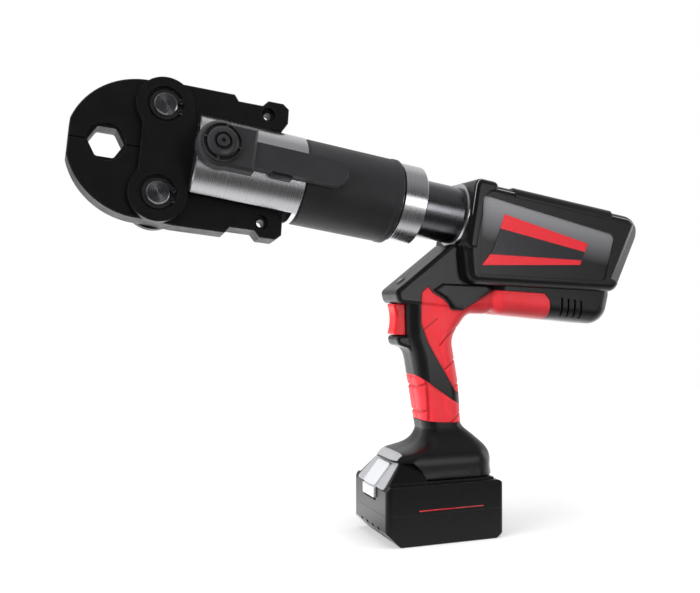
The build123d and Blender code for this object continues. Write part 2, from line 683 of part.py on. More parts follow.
# Foot sections from the handle down: height, front, rear, and how far the sides have spread
foot_sections = [
    (114.0, -11.8, 28.8, 0.0), (106.0, -10.0, 29.8, 0.015), (100.0, -9.6, 34.0, 0.1),
    (94.0, -11.4, 41.5, 0.27), (89.0, -15.2, 47.2, 0.46), (85.5, -20.8, 51.0, 0.61),
    (83.0, -28.2, 53.2, 0.72), (81.0, -36.5, 54.6, 0.8), (78.5, -42.5, 55.9, 0.88),
    (75.0, -45.5, 57.0, 0.95), (70.0, -46.3, 57.6, 0.99), (62.0, -46.3, 57.8, 1.0),
    (FOOT_BOTTOM, -46.3, 57.8, 1.0),
]
foot_step = [(-29.5, FOOT_BROW), (-22.0, FOOT_BOTTOM + 10.0), (-16.0, FOOT_BOTTOM)]


def side_prism(outline, near, far):
    """A prism of a side outline between two distances from the middle plane, near side positive."""
    with BuildPart() as solid:
        with BuildSketch(SIDE.offset(near)):
            with BuildLine():
                Polyline(*outline, close=True)
            make_face()
        extrude(amount=far - near)
    return solid.part


def foot(inset):
    """The foot: a bell from the handle to the battery, cut away over the latch and drawn in by inset."""
    with BuildPart() as solid:
        for height, front, rear, spread in foot_sections:
            half = FOOT_NECK + (FOOT_HALF - FOOT_NECK) * spread - inset
            corner = GRIP_EDGE + (FOOT_CORNER - GRIP_EDGE) * spread - inset
            with BuildSketch(Plane.XY.offset(height - inset)):
                with Locations(((front + rear) / 2, 0)):
                    RectangleRounded(rear - front - 2 * inset, 2 * half, corner)
        loft()
        step = [(x + inset, z + inset) for x, z in foot_step]
        under = [
            (-BATTERY_LENGTH, step[0][1]), *step, (BATTERY_LENGTH, step[-1][1]), (BATTERY_LENGTH, 0),
            (-BATTERY_LENGTH, 0),
        ]
        add(side_prism(under, -2 * FOOT_HALF, 2 * FOOT_HALF), mode=Mode.SUBTRACT)
    return solid.part


def body(inset):
    """The body's slab with its rear side edges slanted off, drawn in by inset."""
    top = Vector(*on_barrel(BODY_REAR, BODY_TOP))
    low = Vector(*RIDGE_REAR)
    up = (top - low).normalized()
    slant = Vector(BEVEL_DEPTH, BEVEL_RUN).normalized()
    with BuildPart() as solid:
        add(slab(body_outline, body_radii, BODY_HALF, BODY_EDGE, inset))
        for side in (-1, 1):
            out = Vector(up.Y * slant.X, side * slant.Y, -up.X * slant.X)
            corner = Vector(top.X, side * (BODY_HALF - BEVEL_DEPTH), top.Y) - out * inset
            with BuildSketch(Plane(origin=corner, x_dir=(up.X, 0, up.Y), z_dir=out)):
                Rectangle(4 * BODY_HALF, 2 * BODY_HALF)
            extrude(amount=BODY_HALF, mode=Mode.SUBTRACT)
    return solid.part


def housing(inset):
    """Body, belly, strut, handle and foot in one form, drawn in by inset."""
    with BuildPart() as form:
        add(body(inset))
        add(slab(belly_outline, belly_radii, BELLY_HALF, BELLY_EDGE, inset))
        add(slab(strut_outline, strut_radii, STRUT_HALF, STRUT_EDGE, inset))
        add(slab(grip_outline, grip_radii, GRIP_HALF, GRIP_EDGE, inset))
        add(foot(inset))
    return form.part


def box_between(low, high):
    """A box from its lowest to its highest corner."""
    size = [b - a for a, b in zip(low, high)]
    with BuildPart() as solid:
        with Locations(tuple(low)):
            Box(*size, align=(Align.MIN, Align.MIN, Align.MIN))
    return solid.part


# Red rubber: set into the housing's outside within these side outlines, on both sides
paddle_outline = [
    (-3.0, 232.0), (9.5, 224.8), (17.5, 215.2), (27.0, 214.8), (57.0, 232.4), (51.0, 236.2), (6.0, 237.4),
]
upper_pad = [
    (-16.0, 230.0), (-16.0, 201.0), (-9.0, 183.0), (20.0, 136.0), (60.0, 116.0), (60.0, 170.0),
    (121.0, 180.0), (119.5, 222.0), (113.5, 229.0), (60.0, 232.4), (28.0, 212.9), (16.4, 213.3),
    (8.2, 222.9), (-5.0, 230.4), (-9.0, 236.0),
]
lower_pad = [
    (-40.0, 158.0), (-22.0, 155.0), (-11.0, 147.5), (19.0, 127.0), (60.0, 108.0), (60.0, 103.0),
    (-40.0, 111.0),
]

panel_outline = [(41.0, 322.0), (188.5, 287.5), (176.5, 241.0), (33.5, 247.0), (38.5, 272.0)]
panel_radii = [3.0, 6.0, 6.0, 3.0, 20.0]
label_outline = [
    (64.0, 304.0), (157.0, 278.0), (148.0, 257.0), (40.0, 255.5), (51.0, 269.0), (59.4, 290.8),
]

# Screws: side X and Z, and how far out their heads are sunk from
screw_places = [
    (14.0, 252.0, STRUT_HALF), (204.0, 280.0, BODY_HALF - BEVEL_DEPTH / 3), (176.0, 222.0, BELLY_HALF),
    (4.0, 147.0, GRIP_HALF), (-6.0, 74.0, FOOT_HALF - 2.0), (28.0, 74.0, FOOT_HALF - 2.0),
]
strut_front = Vector(*strut_outline[1]) - Vector(*strut_outline[0])
led_spot = Vector(*strut_outline[0]) + strut_front * 0.78
LED = Plane(
    origin=(led_spot.X, 0, led_spot.Y),
    x_dir=(0, 1, 0),
    z_dir=(strut_front.Y / strut_front.length, 0, -strut_front.X / strut_front.length),
)

with BuildPart() as outside:
    add(housing(0))
    add(slab(hood_outline, hood_radii, BODY_HALF + HOOD_PROUD, HOOD_EDGE, 0))
    add(slab(guard_outline, guard_radii, GUARD_HALF, GUARD_EDGE, 0))

under_pads = housing(PAD_DEPTH)
pads = {}
for name, near, far in (("grip_pads_left", 0, BODY_HALF), ("grip_pads_right", -BODY_HALF, 0)):
    with BuildPart() as pad:
        add(side_prism(upper_pad, near, far))
        add(side_prism(lower_pad, near, far))
        add(outside.part, mode=Mode.INTERSECT)
        add(under_pads, mode=Mode.SUBTRACT)
    pads[name] = pad.part
    finish(pad.part, name)

brow_back = -37.0
with BuildPart() as brow:
    add(box_between((-BATTERY_LENGTH, -BROW_HALF, FOOT_BROW + PAD_DEPTH),
                    (brow_back, BROW_HALF, foot_sections[0][0])))
    add(outside.part, mode=Mode.INTERSECT)
    add(under_pads, mode=Mode.SUBTRACT)
pads["brow_patch"] = brow.part
finish(brow.part, "brow_patch")

# Housing shells: hollow, with screw bosses, split down the middle
paddle_face = STRUT_HALF + PADDLE_PROUD
slide_rear = BATTERY_LENGTH / 2 - SLIDE_REAR_INSET
with BuildPart() as shell:
    add(outside.part)
    add(housing(WALL), mode=Mode.SUBTRACT)
    for x, z, half in screw_places:
        boss_end = half - WALL / 2
        with BuildSketch(SIDE.offset(-boss_end)):
            with Locations((x, z)):
                Circle(BOSS_R)
        extrude(amount=2 * boss_end)
    for pad_part in pads.values():
        add(pad_part, mode=Mode.SUBTRACT)
    add(turned([(COLLAR_END, 0), (COLLAR_END, BEZEL_R + FACE_GAP), (NOSE, BEZEL_R + FACE_GAP), (NOSE, TUBE_R),
                (TUBE_END, TUBE_R), (TUBE_END, 0)]), mode=Mode.SUBTRACT)
    add(box_between((2 * TRIGGER_FRONT, -TRIGGER_HALF - PLAY, TRIGGER_BOTTOM - PLAY),
                    (TRIGGER_BACK + PLAY, TRIGGER_HALF + PLAY, TRIGGER_TOP + PLAY)), mode=Mode.SUBTRACT)
    for start in (BODY_HALF - PANEL_DEPTH, -2 * BODY_HALF + PANEL_DEPTH):
        with BuildSketch(SIDE.offset(start)):
            with BuildLine():
                FilletPolyline(*panel_outline, radius=panel_radii, close=True)
            make_face()
        extrude(amount=BODY_HALF, mode=Mode.SUBTRACT)
    with BuildSketch(SIDE.offset(paddle_face - PADDLE_DEPTH - PADDLE_TRAVEL - PLAY)):
        with BuildLine():
            Polyline(*paddle_outline, close=True)
        make_face()
        offset(amount=PLAY)
    extrude(amount=BODY_HALF, mode=Mode.SUBTRACT)
    with BuildSketch(LED.offset(-LED_LENGTH)):
        Circle(LED_R)
    extrude(amount=2 * LED_LENGTH, mode=Mode.SUBTRACT)
    for start in (BELLY_HALF - 3 * WALL, -BELLY_HALF - WALL):
        with BuildSketch(SIDE.offset(start)):
            for i in range(VENT_COUNT):
                with Locations((VENT_PLACE[0] + i * VENT_PITCH, VENT_PLACE[1] - i)):
                    SlotOverall(VENT_HEIGHT, VENT_WIDTH, rotation=90)
        extrude(amount=4 * WALL, mode=Mode.SUBTRACT)
    slot_front = SLIDE_FRONT - BATTERY_SHOULDER / 2
    slot_back = slide_rear + PLAY
    slot_low = FOOT_BOTTOM - WALL
    lip_top = FOOT_BOTTOM + SLIDE_LIP - FACE_GAP
    slot_top = FOOT_BOTTOM + SLIDE_HEIGHT
    neck_room = SLIDE_NECK_HALF + PLAY
    head_room = SLIDE_HEAD_HALF + PLAY
    add(box_between((slot_front, -neck_room, slot_low), (slot_back, neck_room, slot_top)), mode=Mode.SUBTRACT)
    add(box_between((slot_front, -head_room, lip_top), (slot_back, head_room, slot_top)), mode=Mode.SUBTRACT)
    for x, z, half in screw_places:
        with BuildSketch(SIDE.offset(-half + SCREW_SINK)):
            with Locations((x, z)):
                Circle(SCREW_R)
        extrude(amount=half - SCREW_SINK + SCREW_BITE, mode=Mode.SUBTRACT)
        with BuildSketch(SIDE.offset(-half - SCREW_SINK)):
            with Locations((x, z)):
                Circle(SCREW_HEAD_R + PLAY)
        extrude(amount=2 * SCREW_SINK, mode=Mode.SUBTRACT)

for name, keep in (("housing_left", Keep.TOP), ("housing_right", Keep.BOTTOM)):
    with BuildPart() as half_shell:
        add(shell.part)
        split(bisect_by=SIDE, keep=keep)
    finish(half_shell.part, name)

# Trim on the housing
rail_top = BODY_TOP + RAIL_RISE
with BuildPart() as rail:
    with BuildSketch(BARREL):
        with Locations(((RAIL_START + RAIL_END) / 2, (rail_top + BODY_TOP - RAIL_SKIRT) / 2)):
            Rectangle(RAIL_END - RAIL_START, rail_top - BODY_TOP + RAIL_SKIRT)
    extrude(amount=BODY_HALF + RAIL_PROUD, both=True)
    rail_edges = rail.edges().filter_by(BARREL_AXIS).sort_by(Axis(BARREL.origin, BARREL.y_dir))
    fillet(rail_edges[-2:], RAIL_SKIRT)
    add(outside.part, mode=Mode.SUBTRACT)
finish(rail.part, "top_rail")

panel_face = BODY_HALF - PANEL_DEPTH
with BuildPart() as labels:
    add(side_prism(label_outline, panel_face, panel_face + LABEL_DEPTH))
    add(side_prism(label_outline, -panel_face - LABEL_DEPTH, -panel_face))
finish(labels.part, "label_plates")

with BuildPart() as screws:
    for x, z, half in screw_places:
        seat = SCREW_SINK - half
        with BuildSketch(SIDE.offset(seat)):
            with Locations((x, z)):
                Circle(SCREW_R)
        extrude(amount=SCREW_BITE - seat)
        with BuildSketch(SIDE.offset(seat - SCREW_HEAD)):
            with Locations((x, z)):
                Circle(SCREW_HEAD_R)
                RegularPolygon(SCREW_R, 6, mode=Mode.SUBTRACT)
        extrude(amount=SCREW_HEAD)
finish(screws.part, "housing_screws")

with BuildPart() as lens:
    with BuildSketch(LED.offset(LED_PROUD - LED_LENGTH)):
        Circle(LED_R)
    extrude(amount=LED_LENGTH)
    fillet(lens.edges().sort_by(Axis(LED.origin, LED.z_dir))[-1], LED_PROUD)
finish(lens.part, "led_lens")

# Pump block with the eccentric's pocket, and the plunger over the eccentric
pump_end = TUBE_END + PUMP_LENGTH
pocket_start = pump_end - ECCENTRIC_POCKET
plunger_station = pump_end - ECCENTRIC_POCKET / 2
shaft_start = pocket_start - BEARING_LENGTH
PLUNGER = Plane(
    origin=BARREL.from_local_coords((plunger_station, 0, 0)), x_dir=BARREL.x_dir, z_dir=BARREL.y_dir
)
with BuildPart() as pump:
    with BuildSketch(BARREL):
        with Locations(((TUBE_END + pump_end) / 2, 0)):
            Rectangle(PUMP_LENGTH, 2 * PUMP_HALF_HEIGHT)
    extrude(amount=PUMP_HALF_WIDTH, both=True)
    fillet(pump.edges().filter_by(BARREL_AXIS), PUMP_CORNER_R)
    add(turned([(shaft_start, 0), (shaft_start, DRIVE_SHAFT_R + RUN), (pocket_start, DRIVE_SHAFT_R + RUN),
                (pocket_start, ECCENTRIC_POCKET_R), (pump_end, ECCENTRIC_POCKET_R), (pump_end, 0)]),
        mode=Mode.SUBTRACT)
    add(turned([(TUBE_END, 0), (TUBE_END, OIL_PORT_R), (shaft_start, OIL_PORT_R), (shaft_start, 0)]),
        mode=Mode.SUBTRACT)
    with BuildSketch(PLUNGER):
        Circle(PLUNGER_R)
    extrude(amount=PUMP_HALF_HEIGHT, mode=Mode.SUBTRACT)
finish(pump.part, "pump_block")

with BuildPart() as plunger:
    with BuildSketch(PLUNGER.offset(ECCENTRIC_R + ECCENTRIC_THROW + FACE_GAP)):
        Circle(PLUNGER_R)
    extrude(amount=PLUNGER_LENGTH)
finish(plunger.part, "pump_plunger")

# Gearbox: the carrier turns the eccentric, and three planets run round the rotor's pinion
gearbox_end = pump_end + GEARBOX_LENGTH
carrier_start = pump_end + GEARBOX_WALL + PLAY
carrier_end = carrier_start + CARRIER_LENGTH
planet_end = carrier_end + PLANET_LENGTH
planet_orbit = SUN_R + PLANET_R + FACE_GAP
gearbox_bore = GEARBOX_R - GEARBOX_WALL
wall_start = gearbox_end - GEARBOX_WALL
finish(turned([
    (pump_end, DRIVE_SHAFT_R + RUN), (pump_end, GEARBOX_R), (gearbox_end, GEARBOX_R),
    (gearbox_end, SUN_R + PLAY), (wall_start, SUN_R + PLAY), (wall_start, gearbox_bore),
    (pump_end + GEARBOX_WALL, gearbox_bore), (pump_end + GEARBOX_WALL, DRIVE_SHAFT_R + RUN),
]), "gearbox_case")


def across(station):
    """A plane square to the barrel axis, with x up across the barrel."""
    return Plane(origin=BARREL.from_local_coords((station, 0, 0)), x_dir=BARREL.y_dir, z_dir=BARREL.x_dir)


with BuildPart() as eccentric:
    shaft_front = shaft_start + FACE_GAP
    add(turned([(shaft_front, 0), (shaft_front, DRIVE_SHAFT_R), (carrier_start, DRIVE_SHAFT_R),
                (carrier_start, CARRIER_R), (carrier_end, CARRIER_R), (carrier_end, 0)]))
    with BuildSketch(across(plunger_station - ECCENTRIC_LENGTH / 2)):
        with Locations((ECCENTRIC_THROW, 0)):
            Circle(ECCENTRIC_R)
    extrude(amount=ECCENTRIC_LENGTH)
    with BuildSketch(across(carrier_end)):
        with PolarLocations(planet_orbit, PLANET_COUNT):
            Circle(PLANET_PIN_R)
    extrude(amount=PLANET_LENGTH)
finish(eccentric.part, "eccentric_shaft")

with BuildPart() as planets:
    with BuildSketch(across(carrier_end)):
        with PolarLocations(planet_orbit, PLANET_COUNT):
            Circle(PLANET_R)
            Circle(PLANET_PIN_R, mode=Mode.SUBTRACT)
    extrude(amount=PLANET_LENGTH)
finish(planets.part, "planet_gears")

# Motor
motor_end = gearbox_end + MOTOR_LENGTH
motor_bore = MOTOR_R - MOTOR_WALL
shaft_bore = MOTOR_SHAFT_R + RUN
armature_start = gearbox_end + MOTOR_WALL + ARMATURE_INSET
armature_end = motor_end - MOTOR_WALL - ARMATURE_INSET
finish(turned([
    (gearbox_end, shaft_bore), (gearbox_end, MOTOR_R), (motor_end, MOTOR_R), (motor_end, shaft_bore),
    (motor_end - MOTOR_WALL, shaft_bore), (motor_end - MOTOR_WALL, motor_bore),
    (gearbox_end + MOTOR_WALL, motor_bore), (gearbox_end + MOTOR_WALL, shaft_bore),
]), "motor_can")
rotor_start = carrier_end + FACE_GAP
rotor_end = motor_end - FACE_GAP
finish(turned([
    (rotor_start, 0), (rotor_start, SUN_R), (planet_end, SUN_R), (planet_end, MOTOR_SHAFT_R),
    (armature_start, MOTOR_SHAFT_R), (armature_start, ARMATURE_R), (armature_end, ARMATURE_R),
    (armature_end, MOTOR_SHAFT_R), (rotor_end, MOTOR_SHAFT_R), (rotor_end, 0),
]), "motor_rotor")

# Oil bladder, hung under the pump block
with BuildPart() as bladder:
    with BuildSketch(BARREL):
        with Locations((BLADDER_START + BLADDER_LENGTH / 2, -PUMP_HALF_HEIGHT - BLADDER_HEIGHT / 2)):
            Rectangle(BLADDER_LENGTH, BLADDER_HEIGHT)
    extrude(amount=BLADDER_WIDTH / 2, both=True)
    fillet(bladder.faces().sort_by(Axis(BARREL.origin, BARREL.y_dir))[0].edges(), BLADDER_EDGE)
finish(bladder.part, "oil_bladder")

# Trigger and switch
trigger_middle = (TRIGGER_TOP + TRIGGER_BOTTOM) / 2
switch_front = TRIGGER_BACK + TRIGGER_TRAVEL + FACE_GAP
stem_end = TRIGGER_BACK + TRIGGER_STEM
with BuildPart() as trigger:
    with BuildSketch(SIDE):
        with BuildLine():
            Line((TRIGGER_FRONT, TRIGGER_BOTTOM), (TRIGGER_BACK, TRIGGER_BOTTOM))
            Line((TRIGGER_BACK, TRIGGER_BOTTOM), (TRIGGER_BACK, TRIGGER_TOP))
            Line((TRIGGER_BACK, TRIGGER_TOP), (TRIGGER_FRONT, TRIGGER_TOP))
            ThreePointArc((TRIGGER_FRONT, TRIGGER_TOP), (TRIGGER_FRONT + TRIGGER_HOLLOW, trigger_middle),
                          (TRIGGER_FRONT, TRIGGER_BOTTOM))
        make_face()
    extrude(amount=TRIGGER_HALF, both=True)
    front_edges = trigger.edges().filter_by(lambda e: e.center().X < TRIGGER_FRONT + TRIGGER_HOLLOW + 1)
    fillet(front_edges, TRIGGER_EDGE)
    with BuildSketch(Plane.YZ.offset(TRIGGER_BACK)):
        with Locations((0, trigger_middle)):
            Circle(TRIGGER_STEM_R)
    extrude(amount=TRIGGER_STEM)
finish(trigger.part, "trigger")

switch_half = GRIP_HALF - WALL
with BuildPart() as switch:
    add(box_between((switch_front, -switch_half, SWITCH_BOTTOM),
                    (switch_front + SWITCH_LENGTH, switch_half, SWITCH_TOP)))
    with BuildSketch(Plane.YZ.offset(switch_front)):
        with Locations((0, trigger_middle)):
            Circle(TRIGGER_STEM_R + RUN)
    extrude(amount=stem_end - switch_front + TRIGGER_TRAVEL + FACE_GAP, mode=Mode.SUBTRACT)
finish(switch.part, "switch_box")

# Release paddle, in the left shell
with BuildPart() as paddle:
    add(side_prism(paddle_outline, paddle_face - PADDLE_DEPTH, paddle_face))
    fillet(paddle.faces().sort_by(Axis.Y)[0].edges(), PADDLE_EDGE)
finish(paddle.part, "release_paddle")

# Terminals in the foot and the control board over them
foot_floor = FOOT_BOTTOM + WALL
terminal_front = slide_rear + TERMINAL_GAP
blade_bottom = FOOT_BOTTOM + SLIDE_HEIGHT - BLADE_HEIGHT - 2 * FACE_GAP
with BuildPart() as terminals:
    add(box_between((terminal_front, -TERMINAL_HALF, foot_floor),
                    (terminal_front + TERMINAL_LENGTH, TERMINAL_HALF, foot_floor + TERMINAL_HEIGHT)))
    for y in (-CONTACT_SPREAD, CONTACT_SPREAD):
        add(box_between((terminal_front - BLADE_LENGTH, y - BLADE_THICKNESS / 2, blade_bottom),
                        (terminal_front, y + BLADE_THICKNESS / 2, blade_bottom + BLADE_HEIGHT)))
finish(terminals.part, "terminal_block")
finish(box_between((terminal_front - BOARD_LENGTH, -BOARD_HALF, BOARD_BOTTOM),
                   (terminal_front, BOARD_HALF, BOARD_BOTTOM + BOARD_THICKNESS)), "control_board")

# Battery: two case halves, a slide rail, and the latch block with its slanted front
half_length = BATTERY_LENGTH / 2
half_width = BATTERY_WIDTH / 2
battery_top = FOOT_BOTTOM - FACE_GAP
block_top = FOOT_BROW - FACE_GAP
slope_foot = Vector(-half_length, 0, LATCH_SLOPE_LOW)
slope_head = Vector(-half_length + LATCH_SLOPE_BACK, 0, block_top)
slope = slope_head - slope_foot
LATCH = Plane(
    origin=(slope_foot + slope_head) / 2,
    x_dir=(0, 1, 0),
    z_dir=(-slope.Z / slope.length, 0, slope.X / slope.length),
)


def on_slope(height):
    """World X and Z of a place on the latch block's slanted front."""
    return (slope_foot.X + slope.X * (height - LATCH_SLOPE_LOW) / slope.Z, height)


case_outline = [
    (-half_length, BATTERY_NOSE[1]), (BATTERY_NOSE[0] - half_length, 0), (half_length - BATTERY_HEEL[0], 0),
    (half_length, BATTERY_HEEL[1]), (half_length, BATTERY_SHOULDER), on_slope(BATTERY_SHOULDER),
    (-half_length, LATCH_SLOPE_LOW),
]
case_radii = [3.0, 3.0, 3.0, 3.0, BATTERY_BACK_R, 0, 0]


def battery_case(inset):
    """The battery's whole outer form without its deck and slide rail, drawn in by inset."""
    with BuildPart() as solid:
        with BuildSketch(SIDE):
            with BuildLine():
                FilletPolyline(*case_outline, radius=case_radii, close=True)
            make_face()
            if inset > 0:
                offset(amount=-inset)
        extrude(amount=half_width - inset, both=True)
        with BuildSketch():
            RectangleRounded(BATTERY_LENGTH - 2 * inset, BATTERY_WIDTH - 2 * inset, BATTERY_CORNER - inset)
        extrude(amount=FOOT_BOTTOM, mode=Mode.INTERSECT)
    return solid.part


latch_back = LATCH_DEPTH - LATCH_PROUD
latch_reach = slope.length / 2 + LATCH_LENGTH / 2  # down to the slope's foot
latch_middle = slope.length / 2 - latch_reach / 2
tongue_low = LATCH_SLOPE_LOW - TONGUE_DROP
tongue_front = -half_length - TONGUE_PROUD
pocket_depth = latch_back + LATCH_TRAVEL + PLAY
slide_top = FOOT_BOTTOM + SLIDE_HEIGHT - FACE_GAP
cells_low = BATTERY_WALL + CELL_R
cells_top = cells_low + 2 * CELL_R * (CELL_ROWS - 1) + CELL_R
contact_floor = blade_bottom - CONTACT_THICKNESS - RUN
case_front = box_between((-BATTERY_LENGTH, -BATTERY_WIDTH, 0), (BATTERY_LENGTH, BATTERY_WIDTH, BATTERY_SPLIT))
cell_room = box_between(
    (-CELL_PITCH * CELL_COLUMNS / 2 - BATTERY_WALL, BATTERY_WALL - half_width, BATTERY_WALL),
    (half_length - BATTERY_WALL, half_width - BATTERY_WALL, cells_top + BATTERY_WALL),
)
nose_angle = Vector(BATTERY_NOSE[0], 0, -BATTERY_NOSE[1])
NOSE_SLOPE = Plane(
    origin=(BATTERY_NOSE[0] / 2 - half_length, 0, BATTERY_NOSE[1] / 2),
    x_dir=(0, 1, 0),
    z_dir=(nose_angle.Z, 0, -nose_angle.X),
)
with BuildPart() as lower_case:
    add(battery_case(0))
    add(case_front, mode=Mode.INTERSECT)
    with BuildPart(mode=Mode.SUBTRACT):
        add(battery_case(BATTERY_WALL))
        add(cell_room, mode=Mode.INTERSECT)
    with BuildSketch(NOSE_SLOPE.offset(-GROOVE_DEPTH)):
        with GridLocations(GROOVE_PITCH, 0, GROOVE_COUNT, 1):
            Rectangle(GROOVE_WIDTH, 2 * nose_angle.length)
    extrude(amount=BATTERY_NOSE[1], mode=Mode.SUBTRACT)
finish(lower_case.part, "battery_lower_case")

deck_low = BATTERY_SHOULDER - BATTERY_EDGE
foot_front = [(x - FACE_GAP, z - FACE_GAP) for x, z in foot_step]
deck_back = half_length - BATTERY_BACK_R
slot_half_width = BLADE_THICKNESS / 2 + PLAY
with BuildPart() as block:
    add(side_prism([on_slope(deck_low), on_slope(block_top), *foot_front, (deck_back, battery_top),
                    (deck_back, deck_low)], -LATCH_BLOCK_HALF, LATCH_BLOCK_HALF))
    with BuildSketch(Plane.YZ.offset(-BATTERY_LENGTH)):
        with BuildLine():
            Polyline(
                (-LATCH_BLOCK_HALF, deck_low), (LATCH_BLOCK_HALF, deck_low), (LATCH_BLOCK_HALF, battery_top),
                (LATCH_BLOCK_TOP, block_top), (-LATCH_BLOCK_TOP, block_top), (-LATCH_BLOCK_HALF, battery_top),
                close=True,
            )
        make_face()
    extrude(amount=2 * BATTERY_LENGTH, mode=Mode.INTERSECT)
with BuildPart() as upper_case:
    add(battery_case(0))
    add(case_front, mode=Mode.SUBTRACT)
    add(block.part)
    add(box_between((SLIDE_FRONT, -SLIDE_NECK_HALF, deck_low), (slide_rear, SLIDE_NECK_HALF, slide_top)))
    add(box_between((SLIDE_FRONT, -SLIDE_HEAD_HALF, FOOT_BOTTOM + SLIDE_LIP),
                    (slide_rear, SLIDE_HEAD_HALF, slide_top)))
    for y in (-CONTACT_SPREAD, CONTACT_SPREAD):
        add(box_between((terminal_front - BLADE_LENGTH - PLAY, y - slot_half_width, contact_floor),
                        (terminal_front, y + slot_half_width, slide_top + 1.0)), mode=Mode.SUBTRACT)
    add(cell_room, mode=Mode.SUBTRACT)
    with BuildSketch(LATCH.offset(-pocket_depth)):
        with Locations((0, latch_middle + LATCH_TRAVEL)):
            Rectangle(2 * (LATCH_HALF + PLAY), latch_reach + 2 * (LATCH_TRAVEL + PLAY))
    extrude(amount=2 * pocket_depth, mode=Mode.SUBTRACT)
    add(box_between((-BATTERY_LENGTH, -LATCH_HALF - PLAY, tongue_low - LATCH_TRAVEL),
                    (tongue_front + TONGUE_THICKNESS + LATCH_TRAVEL, LATCH_HALF + PLAY, LATCH_SLOPE_LOW)),
        mode=Mode.SUBTRACT)
finish(upper_case.part, "battery_upper_case")

with BuildPart() as latch_plate:
    plate_reach = slope.length / 2 - PLAY
    with BuildSketch(LATCH):
        with BuildLine():
            FilletPolyline((-BEZEL_PLATE_HALF, plate_reach), (BEZEL_PLATE_HALF, plate_reach),
                           (BEZEL_PLATE_TOP, -plate_reach), (-BEZEL_PLATE_TOP, -plate_reach),
                           radius=LATCH_CORNER_R, close=True)
        make_face()
        with Locations((0, latch_middle)):
            Rectangle(2 * (LATCH_HALF + PLAY), latch_reach + 2 * PLAY, mode=Mode.SUBTRACT)
    extrude(amount=BEZEL_PLATE)
    plate_front = latch_plate.faces().sort_by(Axis(LATCH.origin, LATCH.z_dir))[-1]
    chamfer(plate_front.outer_wire().edges(), BEZEL_PLATE / 2)
finish(latch_plate.part, "latch_plate")

with BuildPart() as latch:
    with BuildSketch(LATCH.offset(-latch_back)):
        with Locations((0, latch_middle)):
            RectangleRounded(2 * LATCH_HALF, latch_reach, LATCH_CORNER_R)
    extrude(amount=LATCH_DEPTH)
    fillet(latch.faces().sort_by(Axis(LATCH.origin, LATCH.z_dir))[-1].edges(), BEZEL_PLATE / 2)
    with BuildSketch(LATCH.offset(-latch_back)):
        Circle(LATCH_SPRING_R + FACE_GAP)
    extrude(amount=LATCH_BORE, mode=Mode.SUBTRACT)
    add(box_between((tongue_front, -LATCH_HALF, tongue_low),
                    (tongue_front + TONGUE_THICKNESS, LATCH_HALF, LATCH_SLOPE_LOW)))
finish(latch.part, "battery_latch")

with BuildPart() as latch_spring:
    with BuildSketch(LATCH.offset(-pocket_depth)):
        Circle(LATCH_SPRING_R)
        Circle(LATCH_SPRING_R / 2, mode=Mode.SUBTRACT)
    extrude(amount=LATCH_BORE + PLAY - FACE_GAP)
finish(latch_spring.part, "latch_spring")

with BuildPart() as cells:
    for row in range(CELL_ROWS):
        for column in range(CELL_COLUMNS):
            cell_x = (column - (CELL_COLUMNS - 1) / 2) * CELL_PITCH
            with BuildSketch(SIDE.offset(-CELL_LENGTH / 2)):
                with Locations((cell_x, cells_low + 2 * CELL_R * row)):
                    Circle(CELL_R)
            extrude(amount=CELL_LENGTH)
finish(cells.part, "battery_cells")

with BuildPart() as contacts:
    for y in (-CONTACT_SPREAD, CONTACT_SPREAD):
        add(box_between((terminal_front - BLADE_LENGTH, y - BLADE_THICKNESS, contact_floor),
                        (slide_rear - PLAY, y + BLADE_THICKNESS, contact_floor + CONTACT_THICKNESS)))
finish(contacts.part, "battery_contacts")
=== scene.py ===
"""Looks of a cordless pipe press tool: finishes, grip rubber, small fittings, studio and camera."""
import logging
import math
from dataclasses import dataclass
from enum import Enum
from functools import cache
from typing import ClassVar

import bmesh
import bpy
import numpy as np
from mathutils import Euler, Matrix, Vector


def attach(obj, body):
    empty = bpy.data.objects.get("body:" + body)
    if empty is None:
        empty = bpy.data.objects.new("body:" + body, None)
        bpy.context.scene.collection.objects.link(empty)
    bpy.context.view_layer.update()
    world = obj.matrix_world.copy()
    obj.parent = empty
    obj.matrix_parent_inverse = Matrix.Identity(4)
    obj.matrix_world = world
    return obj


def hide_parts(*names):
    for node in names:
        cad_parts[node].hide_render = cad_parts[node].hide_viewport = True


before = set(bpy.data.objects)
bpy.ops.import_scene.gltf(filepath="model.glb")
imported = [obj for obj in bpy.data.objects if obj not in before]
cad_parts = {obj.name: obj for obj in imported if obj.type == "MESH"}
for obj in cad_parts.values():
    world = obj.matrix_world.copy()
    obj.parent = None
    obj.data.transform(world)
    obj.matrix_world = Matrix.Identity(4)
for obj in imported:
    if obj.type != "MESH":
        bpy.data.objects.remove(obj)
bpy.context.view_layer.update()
LOG = logging.getLogger("press_tool")
MM = 0.001
Colour = tuple[float, float, float, float]
Point2 = tuple[float, float]
Point3 = tuple[float, float, float]
Line = tuple[Point2, ...]
Tree = bpy.types.NodeTree
Node = bpy.types.Node
Socket = bpy.types.NodeSocket
Outputs = bpy.types.NodeOutputs
Wires = dict[str | int, object]
Mesh = bpy.types.Mesh
Shape = bmesh.types.BMesh


def linear(code: str) -> Colour:
    """Turn an sRGB hex colour to linear light.

    Args:
        code: Six hex digits, with or without a leading #.

    Returns:
        Linear red, green, blue and an alpha of 1.
    """
    digits = code.lstrip("#")
    parts = [int(digits[i:i + 2], 16) / 255.0 for i in (0, 2, 4)]
    lin = [c / 12.92 if c <= 0.04045 else ((c + 0.055) / 1.055) ** 2.4 for c in parts]
    return (lin[0], lin[1], lin[2], 1.0)


